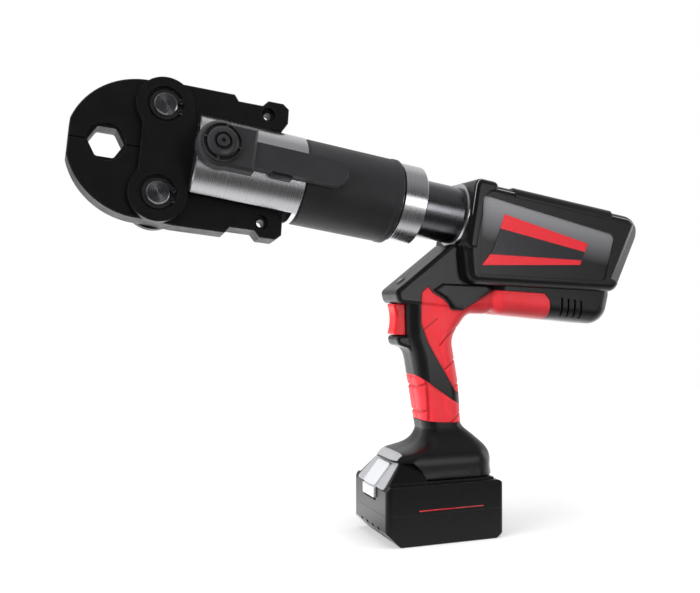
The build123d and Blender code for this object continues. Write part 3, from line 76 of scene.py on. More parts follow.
def fill(tree: Tree, node: Node, wires: Wires) -> None:
    """Set or link a node's inputs.

    Args:
        tree: The node's tree.
        node: The node.
        wires: Input name or number, with the value it takes or the output that feeds it.
    """
    for key, value in wires.items():
        if isinstance(value, Socket):
            tree.links.new(value, node.inputs[key])
        else:
            node.inputs[key].default_value = value


def add_node(tree: Tree, kind: str, wires: Wires | None = None, **settings: object) -> Outputs:
    """Add a node, set its properties, and fill its inputs.

    Args:
        tree: The tree that gets the node.
        kind: The node's type.
        wires: What its inputs take.
        settings: The node's own properties.

    Returns:
        The new node's outputs.
    """
    node = tree.nodes.new(kind)
    for key, value in settings.items():
        setattr(node, key, value)
    fill(tree, node, wires or {})
    return node.outputs


def calc(tree: Tree, operation: str, *values: object) -> Socket:
    """Work out a number from numbers or outputs."""
    return add_node(tree, "ShaderNodeMath", dict(enumerate(values)), operation=operation)[0]


def vector(tree: Tree, operation: str, *values: object) -> Socket:
    """Work out a vector, or a measure of it, from vectors or outputs."""
    made = add_node(tree, "ShaderNodeVectorMath", dict(enumerate(values)), operation=operation)
    return made["Value" if operation in ("LENGTH", "DOT_PRODUCT") else "Vector"]


@dataclass(frozen=True)
class Place:
    """A spot on the tool with its own directions: x to the rear, y up, z out to the lever's side."""

    origin: Vector
    x: Vector
    z: Vector

    @property
    def y(self) -> Vector:
        """The direction up across the tool."""
        return self.z.cross(self.x)

    def at(self, x: float, y: float, z: float = 0.0) -> Vector:
        """World point in metres of a local point in millimetres."""
        return (self.origin + self.x * x + self.y * y + self.z * z) * MM

    def matrix(self, x: float = 0.0, y: float = 0.0, z: float = 0.0) -> Matrix:
        """Matrix from local millimetres about a local point to world metres."""
        turn = Matrix((self.x, self.y, self.z)).transposed().to_4x4()
        return Matrix.Translation(self.at(x, y, z)) @ turn @ Matrix.Scale(MM, 4)


PITCH, ROLL, SAG = (math.radians(angle) for angle in (9.3, 9.5, 3.0))
AXIS_HEIGHT = 309.0
LOCK_AHEAD = 214.5
AXIS = Vector((math.cos(PITCH), 0.0, -math.sin(PITCH)))
SIDE_OUT = Matrix.Rotation(-ROLL, 3, AXIS) @ Vector((0.0, -1.0, 0.0))
LOCK = Place(Vector((0.0, 0.0, AXIS_HEIGHT)) - AXIS * LOCK_AHEAD, AXIS, SIDE_OUT)
JAWS = Place(LOCK.origin, Matrix.Rotation(SAG, 3, SIDE_OUT) @ AXIS, SIDE_OUT)
SIDE = Place(Vector((0.0, 0.0, 0.0)), Vector((1.0, 0.0, 0.0)), Vector((0.0, -1.0, 0.0)))


# Finishes


class Finish:
    """A real material: its name, and nodes that show how its surface was made."""

    name: str = "finish"

    def dress(self, tree: Tree, shader: Node) -> None:
        """Add this finish's nodes to a material's tree, where they feed its shader."""
        raise NotImplementedError

    @cache
    def material(self) -> bpy.types.Material:
        """Make the material once, and hand out the same one after that.

        Returns:
            The finish's material.
        """
        made = bpy.data.materials.new(self.name)
        made.use_nodes = True
        tree = made.node_tree
        tree.nodes.clear()
        surface = add_node(tree, "ShaderNodeBsdfPrincipled")["BSDF"]
        add_node(tree, "ShaderNodeOutputMaterial", {"Surface": surface})
        self.dress(tree, surface.node)
        return made


def spread(tree: Tree, value: Socket, low: float, high: float, start: float = 0.3,
           end: float = 0.7) -> Socket:
    """Map a value's range from start to end onto low to high."""
    wires = {"Value": value, "From Min": start, "From Max": end, "To Min": low, "To Max": high}
    return add_node(tree, "ShaderNodeMapRange", wires)["Result"]


def blend(tree: Tree, amount: Socket, one: object, two: object) -> Socket:
    """Mix two colours, given as colours or outputs, by an amount."""
    return add_node(tree, "ShaderNodeMix", {0: amount, 6: one, 7: two}, data_type="RGBA")[2]


def mottle(tree: Tree, noise: Socket, one: str, two: str) -> Socket:
    """Mix two hex colours by noise."""
    return blend(tree, spread(tree, noise, 0.0, 1.0), linear(one), linear(two))


def spot_on_piece(tree: Tree) -> Socket:
    """The spot on the piece, in its own coordinates."""
    return add_node(tree, "ShaderNodeTexCoord")["Object"]


def along_barrel(tree: Tree, scale: Point3 = (1.0, 1.0, 1.0)) -> Socket:
    """The spot on the piece, turned so that x runs along the barrel, and scaled."""
    wires = {"Vector": spot_on_piece(tree), "Rotation": (0.0, -PITCH, 0.0), "Scale": scale}
    return add_node(tree, "ShaderNodeMapping", wires)["Vector"]


def split(tree: Tree, place: Socket) -> Outputs:
    """The X, Y and Z of a vector."""
    return add_node(tree, "ShaderNodeSeparateXYZ", {0: place})


def soft_edge(tree: Tree, radius: float) -> tuple[Socket, Socket]:
    """Round the look of hard edges, and find where they are.

    Args:
        tree: The material's tree.
        radius: Edge radius in millimetres.

    Returns:
        The rounded normal, and a mask that is 1 along edges.
    """
    bevel = add_node(tree, "ShaderNodeBevel", {"Radius": radius * MM}, samples=4)["Normal"]
    truth = add_node(tree, "ShaderNodeNewGeometry")["Normal"]
    return bevel, spread(tree, vector(tree, "DOT_PRODUCT", bevel, truth), 0.0, 1.0, 0.98, 0.8)


def cloud(tree: Tree, size: float, detail: float = 2.0) -> Socket:
    """Noise over the piece, fixed to it, with patches of a size in millimetres."""
    wires = {"Vector": spot_on_piece(tree), "Scale": 1.0 / (size * MM), "Detail": detail, "Roughness": 0.6}
    return add_node(tree, "ShaderNodeTexNoise", wires)["Fac"]


def tool_lines(tree: Tree, station: Socket, width: float, detail: float, rough: float) -> Socket:
    """Uneven lines across a direction, as a cutting tool leaves them, with a width in millimetres."""
    wires = {"W": station, "Scale": 1.0 / (width * MM), "Detail": detail, "Roughness": rough}
    return add_node(tree, "ShaderNodeTexNoise", wires, noise_dimensions="1D")["Fac"]


def rub(tree: Tree, tone: Socket, edge: Socket, patch: float, amount: Point2, worn: str) -> Socket:
    """Rub a colour through to a worn one along edges, by an amount that varies in patches."""
    share = calc(tree, "MULTIPLY", edge, spread(tree, cloud(tree, patch), *amount))
    return blend(tree, share, tone, linear(worn))


def bump(tree: Tree, height: Socket, depth: float, normal: Socket | None = None) -> Socket:
    """Raise the look of a surface.

    Args:
        tree: The material's tree.
        height: What is raised.
        depth: How far, in millimetres.
        normal: The normal so far, where it isn't the surface's own.

    Returns:
        The new normal.
    """
    wires = {"Height": height, "Distance": depth * MM}
    if normal is not None:
        wires["Normal"] = normal
    return add_node(tree, "ShaderNodeBump", wires)["Normal"]


@dataclass(frozen=True)
class MouldedPlastic(Finish):
    """Injection-moulded, spark-textured plastic: a fine grain that breaks up the sheen, and rubbed edges."""

    name: str = "moulded_abs"
    colour: str = "#0b0b0c"
    pale: str = "#101012"
    worn: str = "#2c2c30"
    gloss: float = 0.33
    grain: float = 0.9  # drawn coarser than the real 0.2 mm texture, so that it shows
    height: float = 0.03
    edge: float = 0.9
    shine: float = 0.27
    patch: float = 22.0
    rubbed: float = 6.0
    seam: bool = False
    seam_gap: Point2 = (0.1, 0.45)
    seam_depth: float = 0.3
    seam_colour: str = "#050506"
    panel_sheen_colours: tuple[str, ...] = ()  # painted sheen: its colour low down and high up, lighter high up in place of the lamps' reflection
    panel_face: float = 34.8
    panel_blur: float = 0.25
    panel_front: float = 30.0
    panel_sheen_fade: Point2 = (282.0, 323.0)

    def dress(self, tree: Tree, shader: Node) -> None:
        """Add grain, patchy tone, pale edges, and where asked the parting seam and a painted sheen on the
        sunk side faces, lighter towards the top.

        Args:
            tree: The material's tree.
            shader: Its shader.
        """
        grain = cloud(tree, self.grain)
        normal, edge = soft_edge(tree, self.edge)
        tone = mottle(tree, cloud(tree, self.patch, 3.0), self.colour, self.pale)
        if self.panel_sheen_colours:
            tone = self.paint_panel_sheen(tree, tone)
        tone = rub(tree, tone, edge, self.rubbed, (0.1, 0.6), self.worn)
        normal = bump(tree, grain, self.height, normal)
        if self.seam:
            out = calc(tree, "ABSOLUTE", split(tree, spot_on_piece(tree))["Y"])
            beside = spread(tree, out, 0.0, 1.0, *(gap * MM for gap in self.seam_gap))
            tone = blend(tree, beside, linear(self.seam_colour), tone)
            normal = bump(tree, beside, self.seam_depth, normal)
        fill(tree, shader, {
            "Base Color": tone,
            "Roughness": spread(tree, grain, self.gloss - 0.05, self.gloss + 0.06),
            "Normal": normal,
            "Specular IOR Level": self.shine,
        })

    def paint_panel_sheen(self, tree: Tree, tone: Socket) -> Socket:
        """Paint a sheen on the sunk side faces: a colour that fades from dark low down to light high up, in
        place of the lamps' reflection.

        Args:
            tree: The material's tree.
            tone: The colour so far.

        Returns:
            The new colour.
        """
        axes = split(tree, spot_on_piece(tree))
        out = calc(tree, "ABSOLUTE", axes["Y"])
        sunk = calc(tree, "COMPARE", out, self.panel_face * MM, self.panel_blur * MM)
        behind = calc(tree, "GREATER_THAN", axes["X"], self.panel_front * MM)
        height = split(tree, along_barrel(tree))["Z"]
        rise = spread(tree, height, 0.0, 1.0, *(level * MM for level in self.panel_sheen_fade))
        # painted sheen: darker low down, lighter high up
        painted_sheen = blend(tree, rise, *(linear(code) for code in self.panel_sheen_colours))
        return blend(tree, calc(tree, "MULTIPLY", sunk, behind), tone, painted_sheen)


@dataclass(frozen=True)
class BlackOxide(Finish):
    """Forged steel with a black oxide skin: a satin, slightly blotchy black with bare edges."""

    name: str = "forged_black_oxide"
    colour: str = "#09090a"
    pale: str = "#0e0e0f"
    worn: str = "#38383c"
    gloss: float = 0.42
    grain: float = 0.7
    height: float = 0.03
    edge: float = 1.1
    shine: float = 0.15
    blotch: float = 14.0
    rubbed: float = 5.0
    sheen_patch: float = 9.0

    def dress(self, tree: Tree, shader: Node) -> None:
        """Add blast grain, blotches of oxide, and worn edges.

        Args:
            tree: The material's tree.
            shader: Its shader.
        """
        normal, edge = soft_edge(tree, self.edge)
        tone = mottle(tree, cloud(tree, self.blotch, 4.0), self.colour, self.pale)
        sheen = cloud(tree, self.sheen_patch, 4.0)
        fill(tree, shader, {
            "Base Color": rub(tree, tone, edge, self.rubbed, (0.05, 0.7), self.worn),
            "Roughness": spread(tree, sheen, self.gloss - 0.06, self.gloss + 0.08),
            "Normal": bump(tree, cloud(tree, self.grain, 3.0), self.height, normal),
            "Specular IOR Level": self.shine,
        })


@dataclass(frozen=True)
class TurnedMetal(Finish):
    """Metal turned on a lathe: fine rings round the barrel, which draw highlights out along it."""

    name: str = "lathe_turned_steel"
    colour: str = "#b8b8ba"
    shade: str = "#9e9ea1"
    gloss: float = 0.25
    line: float = 0.7  # coarser than a real 0.15 mm feed, so that it shows
    depth: float = 0.008
    stretch: float = 0.55
    smudge: float = 26.0
    edge: float = 0.6
    skew: Point3 = (0.0, 0.03, 0.02)  # keeps the sheen's direction known on end faces

    def dress(self, tree: Tree, shader: Node) -> None:
        """Add tool rings along the barrel axis, light smudges, and the drawn-out sheen.

        Args:
            tree: The material's tree.
            shader: Its shader.
        """
        lines = tool_lines(tree, split(tree, along_barrel(tree))["X"], self.line, 3.0, 0.7)
        smudge = spread(tree, cloud(tree, self.smudge, 4.0), -0.03, 0.05)
        out = add_node(tree, "ShaderNodeNewGeometry")["Normal"]
        round_way = vector(tree, "CROSS_PRODUCT", out, AXIS + Vector(self.skew))
        fill(tree, shader, {
            "Base Color": mottle(tree, lines, self.shade, self.colour),
            "Roughness": calc(tree, "ADD", smudge, spread(tree, lines, self.gloss - 0.05, self.gloss + 0.07)),
            "Normal": bump(tree, lines, self.depth, soft_edge(tree, self.edge)[0]),
            "Tangent": vector(tree, "CROSS_PRODUCT", round_way, out),
            "Metallic": 1.0,
            "Anisotropic": self.stretch,
        })


@dataclass(frozen=True)
class FacedSteel(Finish):
    """Pin steel faced on a lathe: rings about the pin's own axis, which catch light as a bow tie."""

    name: str = "faced_pin_steel"
    centre: Point3 = (0.0, 0.0, 0.0)
    colour: str = "#6c6c70"
    shade: str = "#48484c"
    # painted highlight: the paler colour laid round the pin end's rim
    rim_highlight_colour: str = "#a4a4a6"
    gloss: float = 0.30
    line: float = 0.7  # coarser than a real 0.1 mm feed, so that it shows
    depth: float = 0.012
    rim: float = 9.0
    rim_blur: float = 0.3
    stretch: float = 0.75
    tilt: float = 0.06
    edge: float = 0.5

    def dress(self, tree: Tree, shader: Node) -> None:
        """Add rings by distance from the pin's axis, a painted highlight round the rim, and the radial sheen.

        Args:
            tree: The material's tree.
            shader: Its shader.
        """
        off = vector(tree, "SUBTRACT", spot_on_piece(tree), self.centre)
        radial = vector(tree, "SUBTRACT", off, vector(tree, "PROJECT", off, SIDE_OUT))
        reach = vector(tree, "LENGTH", radial)
        lines = tool_lines(tree, reach, self.line, 2.0, 0.5)
        # painted highlight: a ring of paler colour at the rim
        rim_highlight = spread(tree, reach, 0.0, 1.0, (self.rim - self.rim_blur) * MM, self.rim * MM)
        tone = mottle(tree, lines, self.shade, self.colour)
        fill(tree, shader, {
            "Base Color": blend(tree, rim_highlight, tone, linear(self.rim_highlight_colour)),
            "Roughness": spread(tree, lines, self.gloss - 0.05, self.gloss + 0.06),
            "Normal": bump(tree, lines, self.depth, soft_edge(tree, self.edge)[0]),
            "Tangent": vector(tree, "ADD", vector(tree, "NORMALIZE", radial), SIDE_OUT * self.tilt),
            "Metallic": 1.0,
            "Anisotropic": self.stretch,
        })


@dataclass(frozen=True)
class GripRubber(Finish):
    """Overmoulded soft rubber: an even red with a fine stipple, and painted shade in its grooves."""

    name: str = "red_tpe_rubber"
    colour: str = "#ff353f"
    pale: str = "#ff414b"
    # painted shade: the colour laid in the grooves
    deep: str = "#8c0810"
    grain: float = 0.8
    height: float = 0.02
    patch: float = 16.0

    def dress(self, tree: Tree, shader: Node) -> None:
        """Add stipple, faint patches, and painted shade in the grooves, read from the pad's own shade
        attribute.

        Args:
            tree: The material's tree.
            shader: Its shader.
        """
        grain = cloud(tree, self.grain)
        painted_groove_shade = add_node(tree, "ShaderNodeAttribute", attribute_name="painted_groove_shade")["Fac"]
        tone = mottle(tree, cloud(tree, self.patch, 3.0), self.colour, self.pale)
        fill(tree, shader, {
            # painted shade darkens the grooves
            "Base Color": blend(tree, painted_groove_shade, tone, linear(self.deep)),
            "Roughness": spread(tree, grain, 0.38, 0.48),
            "Normal": bump(tree, grain, self.height),
            "Sheen Weight": 0.03,
            "Specular IOR Level": 0.35,
        })


@dataclass(frozen=True)
class SilverPaint(Finish):
    """Silver lacquer over moulded plastic: pale, with fine flake under a clear coat."""

    name: str = "silver_lacquer"
    colour: str = "#9b9c9f"
    flake: str = "#b0b1b4"
    grain: float = 0.5
    height: float = 0.01
    patch: float = 8.0
    edge: float = 0.8

    def dress(self, tree: Tree, shader: Node) -> None:
        """Add flakes, a slight patchiness and soft edges under the coat.

        Args:
            tree: The material's tree.
            shader: Its shader.
        """
        flake = cloud(tree, self.grain, 1.0)
        shown = spread(tree, flake, 0.0, 1.0, 0.4, 0.62)
        fill(tree, shader, {
            "Base Color": blend(tree, shown, linear(self.colour), linear(self.flake)),
            "Roughness": spread(tree, cloud(tree, self.patch, 3.0), 0.3, 0.42),
            "Normal": bump(tree, flake, self.height, soft_edge(tree, self.edge)[0]),
            "Metallic": 0.1,
            "Specular IOR Level": 0.25,
            "Coat Weight": 0.1,
            "Coat Roughness": 0.25,
        })


@dataclass(frozen=True)
class PrintedLabel(Finish):
    """Screen-printed vinyl under a clear film: a red field crossed by a straight black band."""

    name: str = "printed_vinyl"
    field_colour: str = "#f5303b"
    ink_colour: str = "#d81f2b"
    band_colour: str = "#121219"
    upper: Line = ((57.0, 291.0), (157.0, 269.0))
    lower: Line = ((46.0, 266.0), (150.0, 261.5))
    blur: float = 0.1
    grain: float = 1.0
    patch: float = 7.0

    def dress(self, tree: Tree, shader: Node) -> None:
        """Add the band between its two lines, ink grain, and light rubbing in the film.

        Args:
            tree: The material's tree.
            shader: Its shader.
        """
        axes = split(tree, spot_on_piece(tree))
        tests = []
        for (start, end), below in ((self.upper, 1.0), (self.lower, 0.0)):
            slope = (end[1] - start[1]) / (end[0] - start[0])
            line = calc(tree, "MULTIPLY_ADD", axes["X"], slope, (start[1] - slope * start[0]) * MM)
            over = calc(tree, "SUBTRACT", axes["Z"], line)
            tests.append(spread(tree, over, below, 1.0 - below, -self.blur * MM, self.blur * MM))
        ink = blend(tree, spread(tree, cloud(tree, self.grain), 0.0, 0.25), linear(self.field_colour),
                           linear(self.ink_colour))
        fill(tree, shader, {
            "Base Color": blend(tree, calc(tree, "MULTIPLY", *tests), ink, linear(self.band_colour)),
            "Roughness": spread(tree, cloud(tree, self.patch, 5.0), 0.26, 0.4),
            "Coat Weight": 0.08,
            "Coat Roughness": 0.15,
            "Specular IOR Level": 0.3,
        })


@dataclass(frozen=True)
class ClearLens(Finish):
    """Clear moulded lens: glossy, faintly blue, with flow lines inside."""

    name: str = "clear_polycarbonate"
    colour: str = "#2c3238"
    milky: str = "#5c646c"
    ripple: float = 1.4
    height: float = 0.05

    def dress(self, tree: Tree, shader: Node) -> None:
        """Add the ripple of the moulding and a milky core.

        Args:
            tree: The material's tree.
            shader: Its shader.
        """
        ripple = cloud(tree, self.ripple)
        fill(tree, shader, {
            "Base Color": blend(tree, ripple, linear(self.colour), linear(self.milky)),
            "Normal": bump(tree, ripple, self.height),
            "Roughness": spread(tree, ripple, 0.05, 0.14),
            "Transmission Weight": 0.5,
            "IOR": 1.58,
        })


class Make(Enum):
    """How an inner piece was made, with its streak size along the barrel and across it in millimetres."""

    CAST = (2.0, 2.0)
    DRAWN = (30.0, 0.8)
    WOUND = (0.9, 40.0)
    MOULDED = (1.2, 1.2)


@dataclass(frozen=True)
class InnerPart(Finish):
    """A piece inside the tool: plain, with the streaks or grain of how it was made."""

    name: str = "inner_part"
    colour: str = "#808080"
    pale: str = "#909090"
    metal: float = 1.0
    gloss: float = 0.35
    make: Make = Make.DRAWN
    height: float = 0.05

    def dress(self, tree: Tree, shader: Node) -> None:
        """Add streaks or grain along the barrel's direction.

        Args:
            tree: The material's tree.
            shader: Its shader.
        """
        long, wide = (1.0 / (size * MM) for size in self.make.value)
        wires = {"Vector": along_barrel(tree, (long, wide, wide)), "Scale": 1.0, "Detail": 3.0}
        grain = add_node(tree, "ShaderNodeTexNoise", wires)["Fac"]
        fill(tree, shader, {
            "Base Color": mottle(tree, grain, self.colour, self.pale),
            "Roughness": spread(tree, grain, self.gloss - 0.06, self.gloss + 0.08),
            "Normal": bump(tree, grain, self.height),
            "Metallic": self.metal,
        })


# the housing's side-face colours are a painted sheen: dark low down, light high up
HOUSING_ABS = MouldedPlastic("housing_abs", seam=True, panel_sheen_colours=("#0d0d0e", "#a0a0a4"))
TRIM_ABS = MouldedPlastic("trim_abs", "#111113", "#17171a", gloss=0.34)
SLEEVE_NYLON = MouldedPlastic("sleeve_nylon", "#29292b", "#2e2e30", "#48484b", 0.52, 1.1, 0.05, shine=0.2)
LEVER_NYLON = MouldedPlastic("lever_nylon", "#2a2a2c", "#303032", gloss=0.36, edge=1.2)
BATTERY_ABS = MouldedPlastic("battery_abs", "#09090a", "#0d0d0e", gloss=0.32, shine=0.18)
TRIGGER_ABS = MouldedPlastic("red_trigger_abs", "#ea1620", "#ee222c", worn="#f26a70", gloss=0.3)
BLACK_OXIDE = BlackOxide()
TURNED_STEEL = TurnedMetal()
BLACK_CHROME = TurnedMetal("black_chrome_plate", "#626266", "#545458", 0.26, 0.6, 0.004, 0.5)
SNAP_STEEL = InnerPart("phosphated_spring_steel", "#1e1e20", "#2c2c2e", 0.6, 0.36)
GRIP_RUBBER = GripRubber()
SILVER = SilverPaint()
LATCH_SILVER = SilverPaint("pale_silver_lacquer", "#cacbce", "#d8d9dc")
LABEL = PrintedLabel()
LENS = ClearLens()
GROUND_STEEL = InnerPart("ground_steel", "#8f8f92", "#b5b5b8", gloss=0.3)
CAST_ALUMINIUM = InnerPart("sand_cast_aluminium", "#8c8c8e", "#a6a6a8", 1.0, 0.5, Make.CAST)
PLATED_STEEL = InnerPart("plated_steel", "#5a5a5e", "#707074")
COPPER = InnerPart("lacquered_copper", "#8a4a20", "#b86a30", make=Make.WOUND)
SEAL_RUBBER = InnerPart("nitrile_rubber", "#050505", "#090909", 0.0, 0.7, Make.MOULDED)
SWITCH_NYLON = InnerPart("switch_nylon", "#242424", "#2c2c2c", 0.0, 0.5, Make.MOULDED)
BOARD = InnerPart("board_laminate", "#0d4a22", "#135c2c", 0.0, 0.4, Make.MOULDED)
CELL_WRAP = InnerPart("cell_shrink_wrap", "#2a6a58", "#34786a", 0.0)
BRASS = InnerPart("contact_brass", "#b08a3c", "#c8a250")


# Pieces


def put(name: str, data: bpy.types.ID) -> bpy.types.Object:
    """Put an object in the scene.

    Args:
        name: Its name.
        data: Its mesh, lamp or camera.

    Returns:
        The new object.
    """
    made = bpy.data.objects.new(name, data)
    bpy.context.scene.collection.objects.link(made)
    return made


def settle(mesh: Mesh, name: str, finish: Finish, body: str, sharp: float = 35.0,
           replaces: tuple[str, ...] = ()) -> bpy.types.Object:
    """Make a finished mesh a piece of the tool.

    Args:
        mesh: The mesh, in world metres.
        name: The piece's name.
        finish: Its finish.
        body: The body that it moves with.
        sharp: Angle in degrees past which an edge stays hard.
        replaces: Solids that it stands for.

    Returns:
        The new object.
    """
    mesh.name = name
    mesh.materials.clear()
    mesh.materials.append(finish.material())
    mesh.shade_smooth()
    mesh.set_sharp_from_angle(angle=math.radians(sharp))
    piece = put(name, mesh)
    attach(piece, body)
    if replaces:
        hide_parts(*replaces)
    LOG.info("piece %s: %d faces on %s", name, len(mesh.polygons), body)
    return piece


def to_mesh(shape: Shape, place: Matrix = Matrix(), weld: float = 1e-4) -> Mesh:
    """Close a shape's seams, point its faces outwards and put it in its place.

    Args:
        shape: The shape, which is freed.
        place: Matrix that puts it in its place.
        weld: Distance within which corners become one.

    Returns:
        The mesh.
    """
    bmesh.ops.remove_doubles(shape, verts=shape.verts, dist=weld)
    bmesh.ops.recalc_face_normals(shape, faces=shape.faces)
    mesh = bpy.data.meshes.new("shape")
    shape.to_mesh(mesh)
    shape.free()
    mesh.transform(place)
    return mesh


def lathe(profile: Line, steps: int = 96) -> Shape:
    """Turn a profile of radius and height about the local z axis.

    Args:
        profile: Radius and height corners, from the axis back to the axis.
        steps: Number of facets round it.

    Returns:
        The closed shape.
    """
    shape = bmesh.new()
    rings = []
    for radius, height in profile:
        if radius < 1e-6:
            rings.append([shape.verts.new((0.0, 0.0, height))] * steps)
            continue
        turns = [2 * math.pi * i / steps for i in range(steps)]
        rings.append([shape.verts.new((radius * math.cos(t), radius * math.sin(t), height)) for t in turns])
    for low, high in zip(rings, rings[1:]):
        for i in range(steps):
            corners = dict.fromkeys((low[i], low[(i + 1) % steps], high[(i + 1) % steps], high[i]))
            if len(corners) > 2:
                shape.faces.new(list(corners))
    return shape


def prism(outline: Line, low: float, high: float, edge: float = 0.0) -> Shape:
    """Raise a flat outline between two heights, and round its rims.

    Args:
        outline: Corners in local x and y.
        low: Lower height.
        high: Upper height.
        edge: Radius of the rims, or 0 for hard ones.

    Returns:
        The closed shape.
    """
    shape = bmesh.new()
    base = [shape.verts.new((x, y, low)) for x, y in outline]
    top = [shape.verts.new((x, y, high)) for x, y in outline]
    shape.faces.new(base[::-1])
    shape.faces.new(top)
    for i, corner in enumerate(base):
        follow = (i + 1) % len(base)
        shape.faces.new((corner, base[follow], top[follow], top[i]))
    if edge > 0:
        bmesh.ops.bevel(shape, geom=shape.edges[:], offset=edge, segments=3, affect="EDGES", profile=0.5,
                        clamp_overlap=True)
    return shape


def rounded(width: float, height: float, radius: float, steps: int = 6) -> Line:
    """Outline of a rounded rectangle about the origin.

    Args:
        width: Its size in x.
        height: Its size in y.
        radius: Its corners' radius.
        steps: Number of runs round each corner.

    Returns:
        Its corners.
    """
    points = []
    for quarter in range(4):
        cx = (width / 2 - radius) * (1 if quarter in (0, 3) else -1)
        cy = (height / 2 - radius) * (1 if quarter < 2 else -1)
        for step in range(steps + 1):
            turn = math.pi / 2 * (quarter + step / steps)
            points.append((cx + radius * math.cos(turn), cy + radius * math.sin(turn)))
    return tuple(points)


class Repeater:
    """Geometry Nodes that set copies of one shape along a row, round a ring, or both."""

    INPUTS = (("Count", "NodeSocketInt"), ("Step", "NodeSocketVector"), ("Turn", "NodeSocketVector"),
              ("Finish", "NodeSocketMaterial"))

    def __init__(self) -> None:
        """Build the tree with its named inputs."""
        tree = self.tree = bpy.data.node_groups.new("repeat_fitting", "GeometryNodeTree")
        tree.interface.new_socket("Geometry", in_out="INPUT", socket_type="NodeSocketGeometry")
        for name, kind in self.INPUTS:
            tree.interface.new_socket(name, in_out="INPUT", socket_type=kind)
        tree.interface.new_socket("Geometry", in_out="OUTPUT", socket_type="NodeSocketGeometry")
        given = add_node(tree, "NodeGroupInput")
        index = add_node(tree, "GeometryNodeInputIndex")[0]
        offset, turn = (add_node(tree, "ShaderNodeVectorMath", {0: given[name], "Scale": index},
                                 operation="SCALE")[0] for name in ("Step", "Turn"))
        points = add_node(tree, "GeometryNodePoints", {"Count": given["Count"], "Position": offset})
        copies = add_node(tree, "GeometryNodeInstanceOnPoints",
                          {"Points": points[0], "Instance": given["Geometry"], "Rotation": turn})
        real = add_node(tree, "GeometryNodeRealizeInstances", {"Geometry": copies[0]})
        dressed = add_node(tree, "GeometryNodeSetMaterial",
                           {"Geometry": real[0], "Material": given["Finish"]})
        add_node(tree, "NodeGroupOutput", {0: dressed[0]})

    def run(self, shape: Shape, finish: Finish, count: int, step: Point3 = (0.0, 0.0, 0.0),
            turn: Point3 = (0.0, 0.0, 0.0)) -> Mesh:
        """Repeat a shape.

        Args:
            shape: The shape in local millimetres, which is freed.
            finish: Its finish.
            count: How many copies.
            step: Move from one copy to the next.
            turn: Turn from one copy to the next, in radians.

        Returns:
            A plain mesh of all the copies, in local millimetres.
        """
        holder = put("repeat_holder", to_mesh(shape))
        modifier = holder.modifiers.new("repeat", "NODES")
        modifier.node_group = self.tree
        values = {"Count": count, "Step": step, "Turn": turn, "Finish": finish.material()}
        for item in self.tree.interface.items_tree:
            if item.in_out == "INPUT" and item.name in values:
                modifier[item.identifier] = values[item.name]
        return bake(holder)


def bake(holder: bpy.types.Object) -> Mesh:
    """Turn an object with modifiers to a plain mesh.

    Args:
        holder: The object, which is removed.

    Returns:
        The mesh.
    """
    graph = bpy.context.evaluated_depsgraph_get()
    mesh = bpy.data.meshes.new_from_object(holder.evaluated_get(graph), depsgraph=graph)
    bpy.data.objects.remove(holder)
    return mesh


REPEAT = Repeater()


# Sub-assemblies


@dataclass
class SubAssembly:
    """A group of the tool's solids with their finishes, and the pieces that are added to them."""

    FINISHES: ClassVar[dict[Finish, str]] = {}

    def build(self) -> None:
        """Give the solids that stay on show their finishes."""
        for finish, names in self.FINISHES.items():
            for name in names.split():
                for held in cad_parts[name].material_slots:
                    held.material = finish.material()
                LOG.info("solid %s: %s", name, finish.name)


@dataclass
class JawSet(SubAssembly):
    """Jaws, side plates and pins, with the ears of the snap rings on the pins."""

    pin_ahead: float = 43.3
    pin_spread: float = 39.4
    ring_face: float = 14.3
    ring_thickness: float = 1.5
    ear: Line = ((0.9, 0.0), (2.5, 0.0), (2.5, 1.8), (2.2, 2.0), (0.9, 2.0), (0.9, 0.0))
    ear_reach: float = 12.6
    ear_gap: float = 4.6
    FINISHES = {
        BLACK_OXIDE: "jaw_upper jaw_lower side_plate_near side_plate_far",
        SNAP_STEEL: "retaining_rings",
        FacedSteel("faced_pin_upper", tuple(JAWS.at(-pin_ahead, pin_spread))): "jaw_pin_upper",
        FacedSteel("faced_pin_lower", tuple(JAWS.at(-pin_ahead, -pin_spread))): "jaw_pin_lower",
    }

    def build(self) -> None:
        """Dress the jaws and add the snap rings' ears."""
        super().build()
        for name, rise in (("ring_ears_upper", self.pin_spread), ("ring_ears_lower", -self.pin_spread)):
            for side, face in (("near", self.ring_face), ("far", -self.ring_face - self.ring_thickness)):
                pair = REPEAT.run(lathe(self.ear, 24), SNAP_STEEL, 2, step=(0.0, 2 * self.ear_gap, 0.0))
                pair.transform(JAWS.matrix(-self.pin_ahead + self.ear_reach, rise - self.ear_gap, face))
                settle(pair, f"{name}_{side}", SNAP_STEEL, "jaw_set")


